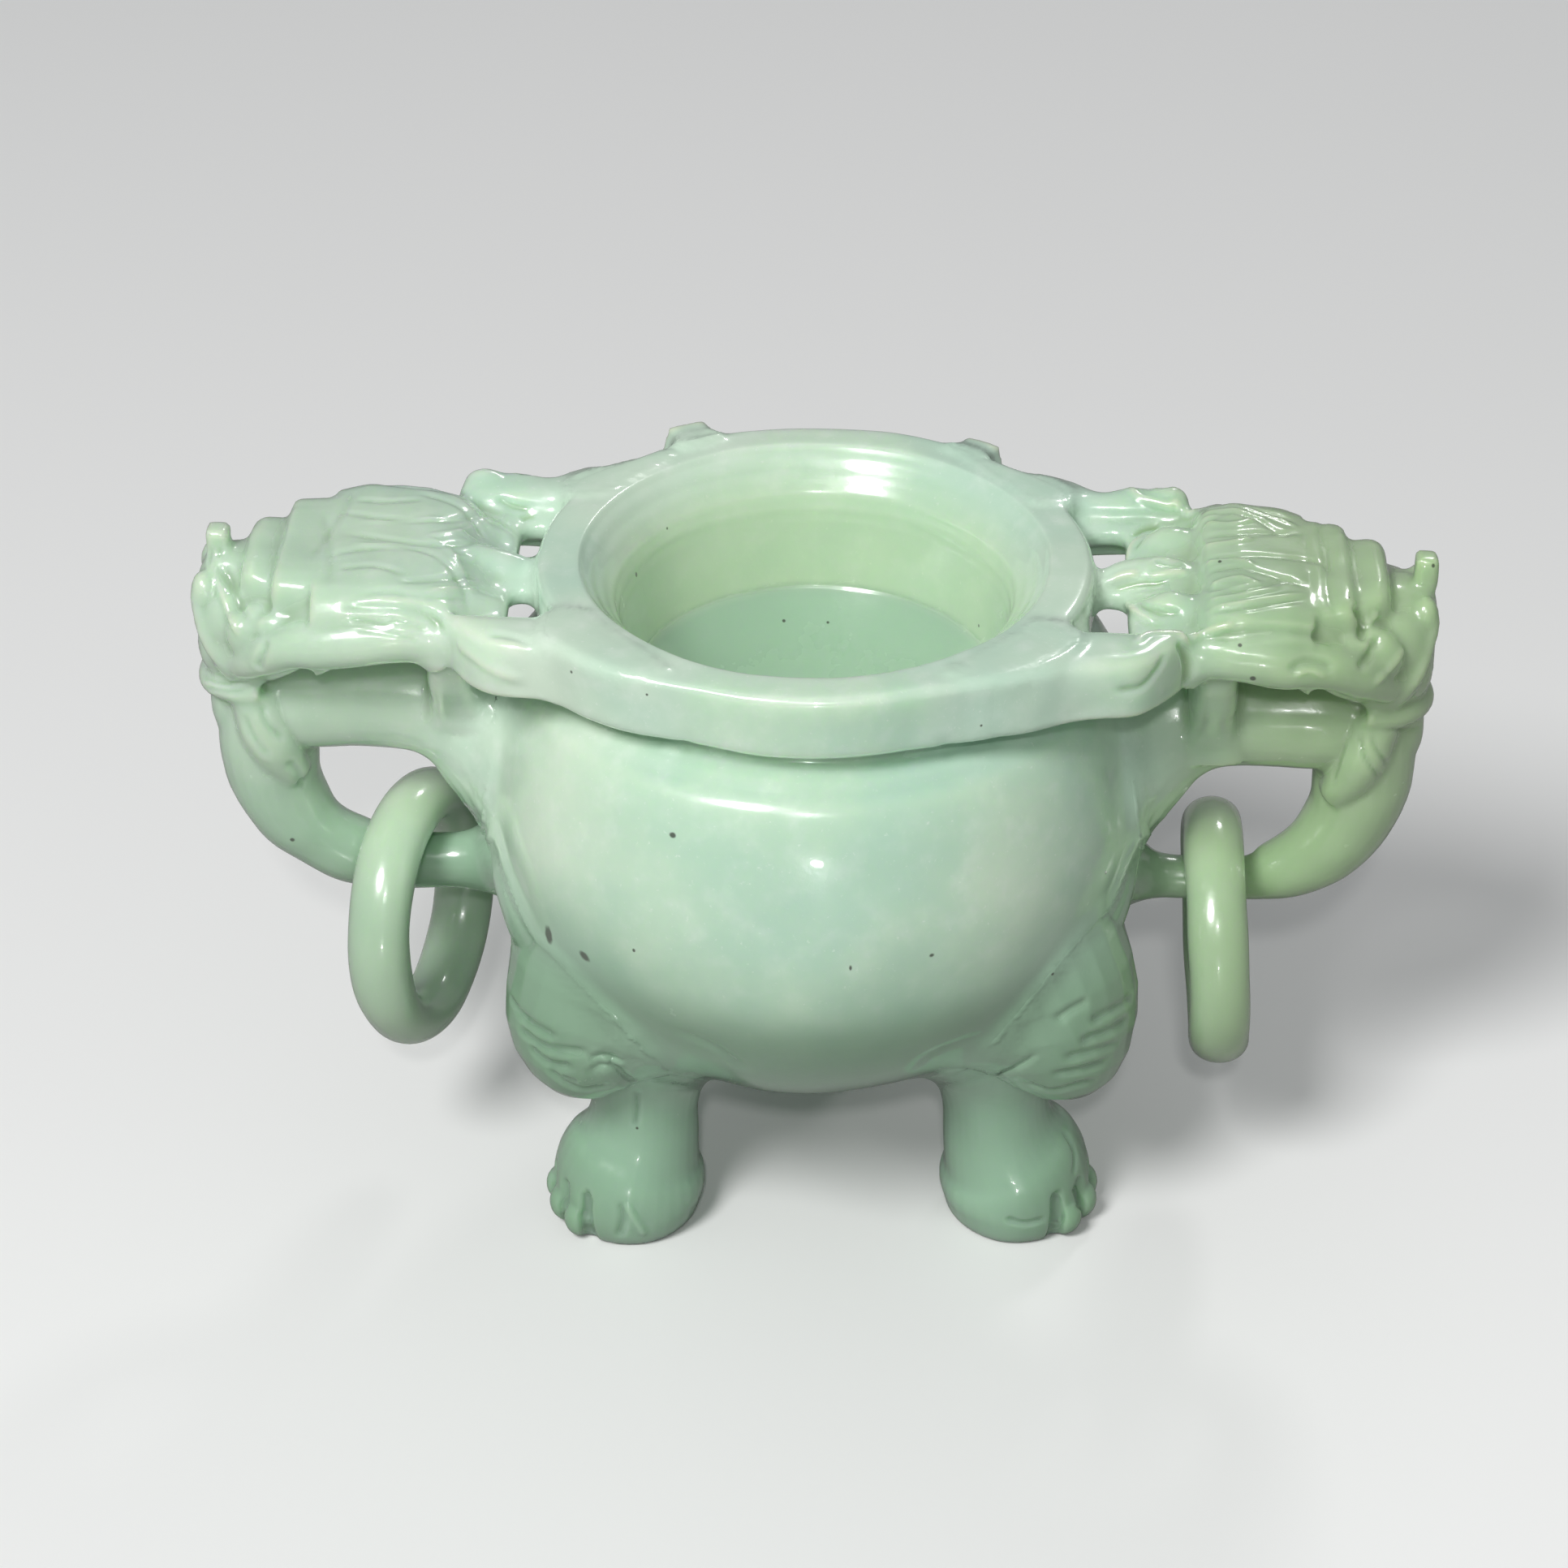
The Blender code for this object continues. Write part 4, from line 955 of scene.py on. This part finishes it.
def makeLeg(legName):
    shape = legs[legName]
    bm = bmesh.new()
    (reach, aside), shin = shape["foot"], shape["shin"]
    lean = Matrix.Rotation(radians(legs["thighLean"]), 4, "Y")
    ball(bm, (legs["thighOut"] + shape["thigh"], 0.0, shape["tall"]), legs["thighSize"], lean)
    hip = radians(shape["hip"])
    sweep(bm, [(out * cos(hip * share), out * sin(-hip * share), level, radius)
               for out, level, radius, share in legs["hip"]], sides=20)
    sole = [(shin + (reach - shin) * share, aside * share, level, radius)
            for level, radius, share in legs["foot"]]
    sweep(bm, sole + [(shin + out, 0.0, level, radius) for out, level, radius in legs["calf"]],
          sides=32)
    for claw in shape["claws"]:
        turn = Matrix.Rotation(radians(claw), 4, "Z")
        tip = Vector((reach, aside, legs["clawUp"])) + turn @ Vector((legs["clawOut"], 0.0, 0.0))
        ball(bm, tip, legs["clawSize"], turn)
    item = meshObject(f"leg_{legName}_carving", bm,
                      Matrix.Rotation(radians(shape["angle"]), 4, "Z"))
    voxel = legs["voxel"]
    fuse(item, voxel, legs["smoothing"])
    carve(item, legStrokes[legName], bothSides=False)
    # Gaps between the toes
    places, facing = skinOf(item)
    shift = np.zeros_like(places)
    for toe in shape["toes"]:
        angle = radians(shape["angle"] + toe)
        foot = radians(shape["angle"])
        line = [(reach * cos(foot) - aside * sin(foot) + out * cos(angle),
                 reach * sin(foot) + aside * cos(foot) + out * sin(angle), level)
                for out, level in legs["toeGap"]]
        cutStroke(places, facing, shift, line, width=1.5, depth=1.0, taper=0.0)
    places += shift
    places[:, 2] = np.maximum(places[:, 2], 0.0)
    reshape(item, places)
    unevenness(item, size=7.0, amount=0.25, seed=9.0)
    places = skinOf(item)[0]
    places[:, 2] = np.maximum(places[:, 2], 0.0)
    reshape(item, places)
    return item


rings = {
    "hole": 12.1, "play": 0.3, "barDrop": 49.8, "steps": 160, "sides": 40,
    "clear": 0.15, "deepest": 2.0,
    "left": {"outer": 19.5, "width": 8.6, "out": 17.8, "turn": -15.3, "lean": -3.2,
             "swing": (-98.0, 60.0)},
    "right": {"outer": 18.6, "width": 8.2, "out": 19.0, "turn": 0.0, "lean": -3.9,
              "swing": (-100.0, 100.0)},
}


def makeRing(sideName):
    shape, side = rings[sideName], handles[sideName]["side"]
    thick = (shape["outer"] - rings["hole"]) / 2
    bm = bmesh.new()
    oval = Matrix.Translation((0.0, rings["hole"] + thick, 0.0)) @ Matrix.Diagonal(
        (shape["width"] / 2, thick, 1.0, 1.0))
    made = bmesh.ops.create_circle(bm, cap_ends=False, segments=rings["sides"], radius=1.0,
                                   matrix=oval)
    loop = made["verts"] + edgesOf(made["verts"])
    bmesh.ops.spin(bm, geom=loop, axis=(1.0, 0.0, 0.0), cent=(0.0, 0.0, 0.0),
                   angle=2 * pi, steps=rings["steps"], use_merge=True)
    bmesh.ops.remove_doubles(bm, verts=bm.verts, dist=0.004)
    hang = rings["hole"] - rings["play"] - handles[sideName]["bar"]
    matrix = (Matrix.Translation((side * (bowl["rimOut"] + shape["out"]), 0.0,
                                  bowl["top"] - rings["barDrop"] - hang))
              @ Matrix.Rotation(radians(shape["turn"]), 4, "Z")
              @ Matrix.Rotation(radians(shape["lean"]), 4, "Y"))
    item = meshObject(f"ring_{sideName}_carving", bm, matrix)
    unevenness(item, size=9.0, amount=0.22, seed=4.0 + side)
    return item


# How far a fillet reaches: narrow above a level, and wider below it, over a run
fillets = {
    "handle": {"narrow": 2.2, "wider": 5.3, "level": 87.0, "run": 7.0},
    "leg": {"narrow": 3.4, "wider": 5.2, "level": 52.0, "run": 16.0},
    "pieceRise": 0.42, "bowlRise": 0.27,
}


specks = [
    # place in the photograph, radius, how much taller than wide
    ((822, 651), 0.32, 1.2), ((784, 708), 0.34, 1.4), ((966, 765), 0.3, 1.0),
    ((1020, 767), 0.3, 1.0), ((1206, 771), 0.28, 1.0), ((704, 828), 0.34, 1.0),
    ((797, 856), 0.3, 1.0), ((1209, 894), 0.3, 1.0), ((829, 1029), 0.55, 0.8),
    ((781, 1171), 0.32, 1.2), ((1148, 1177), 0.55, 0.8), ((1048, 1193), 0.3, 2.2),
    ((1297, 1200), 0.34, 1.0), ((360, 1035), 0.45, 1.0), ((1544, 836), 0.45, 1.2),
    ((1503, 692), 0.3, 1.0), ((1661, 736), 0.34, 1.0), ((1766, 697), 0.34, 1.3),
    ((1528, 795), 0.34, 1.0), ((676, 1152), 0.9, 2.0), ((720, 1178), 1.2, 0.8),
    ((1363, 1075), 0.3, 1.0), ((785, 1390), 0.3, 1.0),
]


def placeSpecks():
    trees = [treeOf(item) for item in (bowlItem, *handleItems.values(), *legItems.values())]
    found = []
    for (px, py), radius, tall in specks:
        start, direction = photoRay(px, py)
        hits = [hit for hit in (tree.ray_cast(start, direction)[0] for tree in trees) if hit]
        if hits:
            nearest = min(hits, key=lambda hit: (hit - start).length)
            found.append((tuple(nearest), radius, tall))
    return found


print("modelling the bowl")
bowlItem = makeBowl()
handleItems = {}
for sideName in ("left", "right"):
    print(f"carving the {sideName} handle")
    handleItems[sideName] = makeHandle(sideName)
legItems = {}
for legName in ("front_left", "front_right", "back"):
    print(f"carving the {legName} leg")
    legItems[legName] = makeLeg(legName)
ringItems = {sideName: makeRing(sideName) for sideName in ("left", "right")}

for item in (bowlItem, *handleItems.values(), *legItems.values(), *ringItems.values()):
    readRelief(item, jade["reliefRounds"], jade["reliefScale"])

print("blending handles and legs into the bowl")
bowlTree = treeOf(bowlItem)
for items, fillet in ((handleItems, fillets["handle"]), (legItems, fillets["leg"])):
    for item in items.values():
        tree = treeOf(item)
        meetSkin(item, bowlTree, fillet, fillets["pieceRise"])
        meetSkin(bowlItem, tree, fillet, fillets["bowlRise"])
for sideName, item in handleItems.items():
    makeRoomForRing(item, sideName)

for item in (*handleItems.values(), *legItems.values()):
    markJoint(item, [bowlItem])
markJoint(bowlItem, [*handleItems.values(), *legItems.values()])

print("making the stone")
vesselStone = jadeStone("vessel_stone", seed=1.7, lowShare=0.95, spots=placeSpecks())
ringStones = {sideName: jadeStone(f"ring_{sideName}_stone", lowShare=0.4,
                                  seed=9.0 + handles[sideName]["side"])
              for sideName in ringItems}
finishPiece(bowlItem, "vessel", vesselStone, ["bowl"])
for sideName, item in handleItems.items():
    finishPiece(item, "vessel", vesselStone, [f"handle_{sideName}"])
for legName, item in legItems.items():
    finishPiece(item, "vessel", vesselStone, [f"leg_{legName}"])
for sideName, item in ringItems.items():
    finishPiece(item, f"loose_ring_{sideName}", ringStones[sideName],
                [f"ring_{sideName}"])


room = {
    "floor": (0.92, 0.92, 0.91, 1.0), "worn": (0.74, 0.75, 0.74, 1.0),
    "bounce": (0.36, 0.36, 0.35, 1.0), "aim": (0.0, 0.0, 0.06),
    "world": (0.80, 0.82, 0.84, 1.0), "worldStrength": 0.30,
    "lamps": [
        {"name": "key", "place": (-0.50, -0.85, 1.15), "size": 0.5, "power": 15.0},
        {"name": "front", "place": (0.02, -0.95, 0.80), "size": 0.06, "power": 2.2},
        {"name": "low", "place": (0.03, -0.95, 0.05), "size": 0.05, "power": 0.4},
        {"name": "back", "place": (0.3, 0.9, 0.9), "size": 0.2, "power": 1.2},
    ],
}


def makeRoom():
    bm = bmesh.new()
    bmesh.ops.create_grid(bm, x_segments=1, y_segments=1, size=6.0)
    floor = meshObject("floor", bm)
    paint = Stone("floor_paint")
    where = paint.out("ShaderNodeTexCoord", "Object")
    worn = paint.out("ShaderNodeTexNoise", 0, Vector=where, Scale=9.0, Detail=4.0)
    colour = paint.blend(worn * 0.06, room["floor"], room["worn"])
    # Pale to the camera, a dark table to the light that it throws back
    seen = paint.out("ShaderNodeLightPath", "Is Camera Ray")
    colour = paint.blend(seen, room["bounce"], colour)
    paint.tree.links.new(colour.socket, paint.shader.inputs["Base Color"])
    paint.shader.inputs["Roughness"].default_value = 0.35
    paint.shader.inputs["Specular IOR Level"].default_value = 0.25
    floor.data.materials.append(paint.material)
    world = bpy.data.worlds.new("room_light")
    bpy.context.scene.world = world
    world.use_nodes = True
    sky = world.node_tree.nodes["Background"]
    sky.inputs["Color"].default_value = room["world"]
    sky.inputs["Strength"].default_value = room["worldStrength"]
    for lamp in room["lamps"]:
        data = bpy.data.lights.new(lamp["name"], "AREA")
        data.shape = "DISK"
        data.size = lamp["size"]
        data.energy = lamp["power"]
        item = bpy.data.objects.new(lamp["name"], data)
        place = Vector(lamp["place"])
        aim = Vector(room["aim"]) - place
        item.matrix_world = Matrix.Translation(place) @ aim.to_track_quat(
            "-Z", "Y").to_matrix().to_4x4()
        bpy.context.scene.collection.objects.link(item)


makeRoom()
makeCamera()
bpy.context.scene.view_settings.view_transform = "Standard"
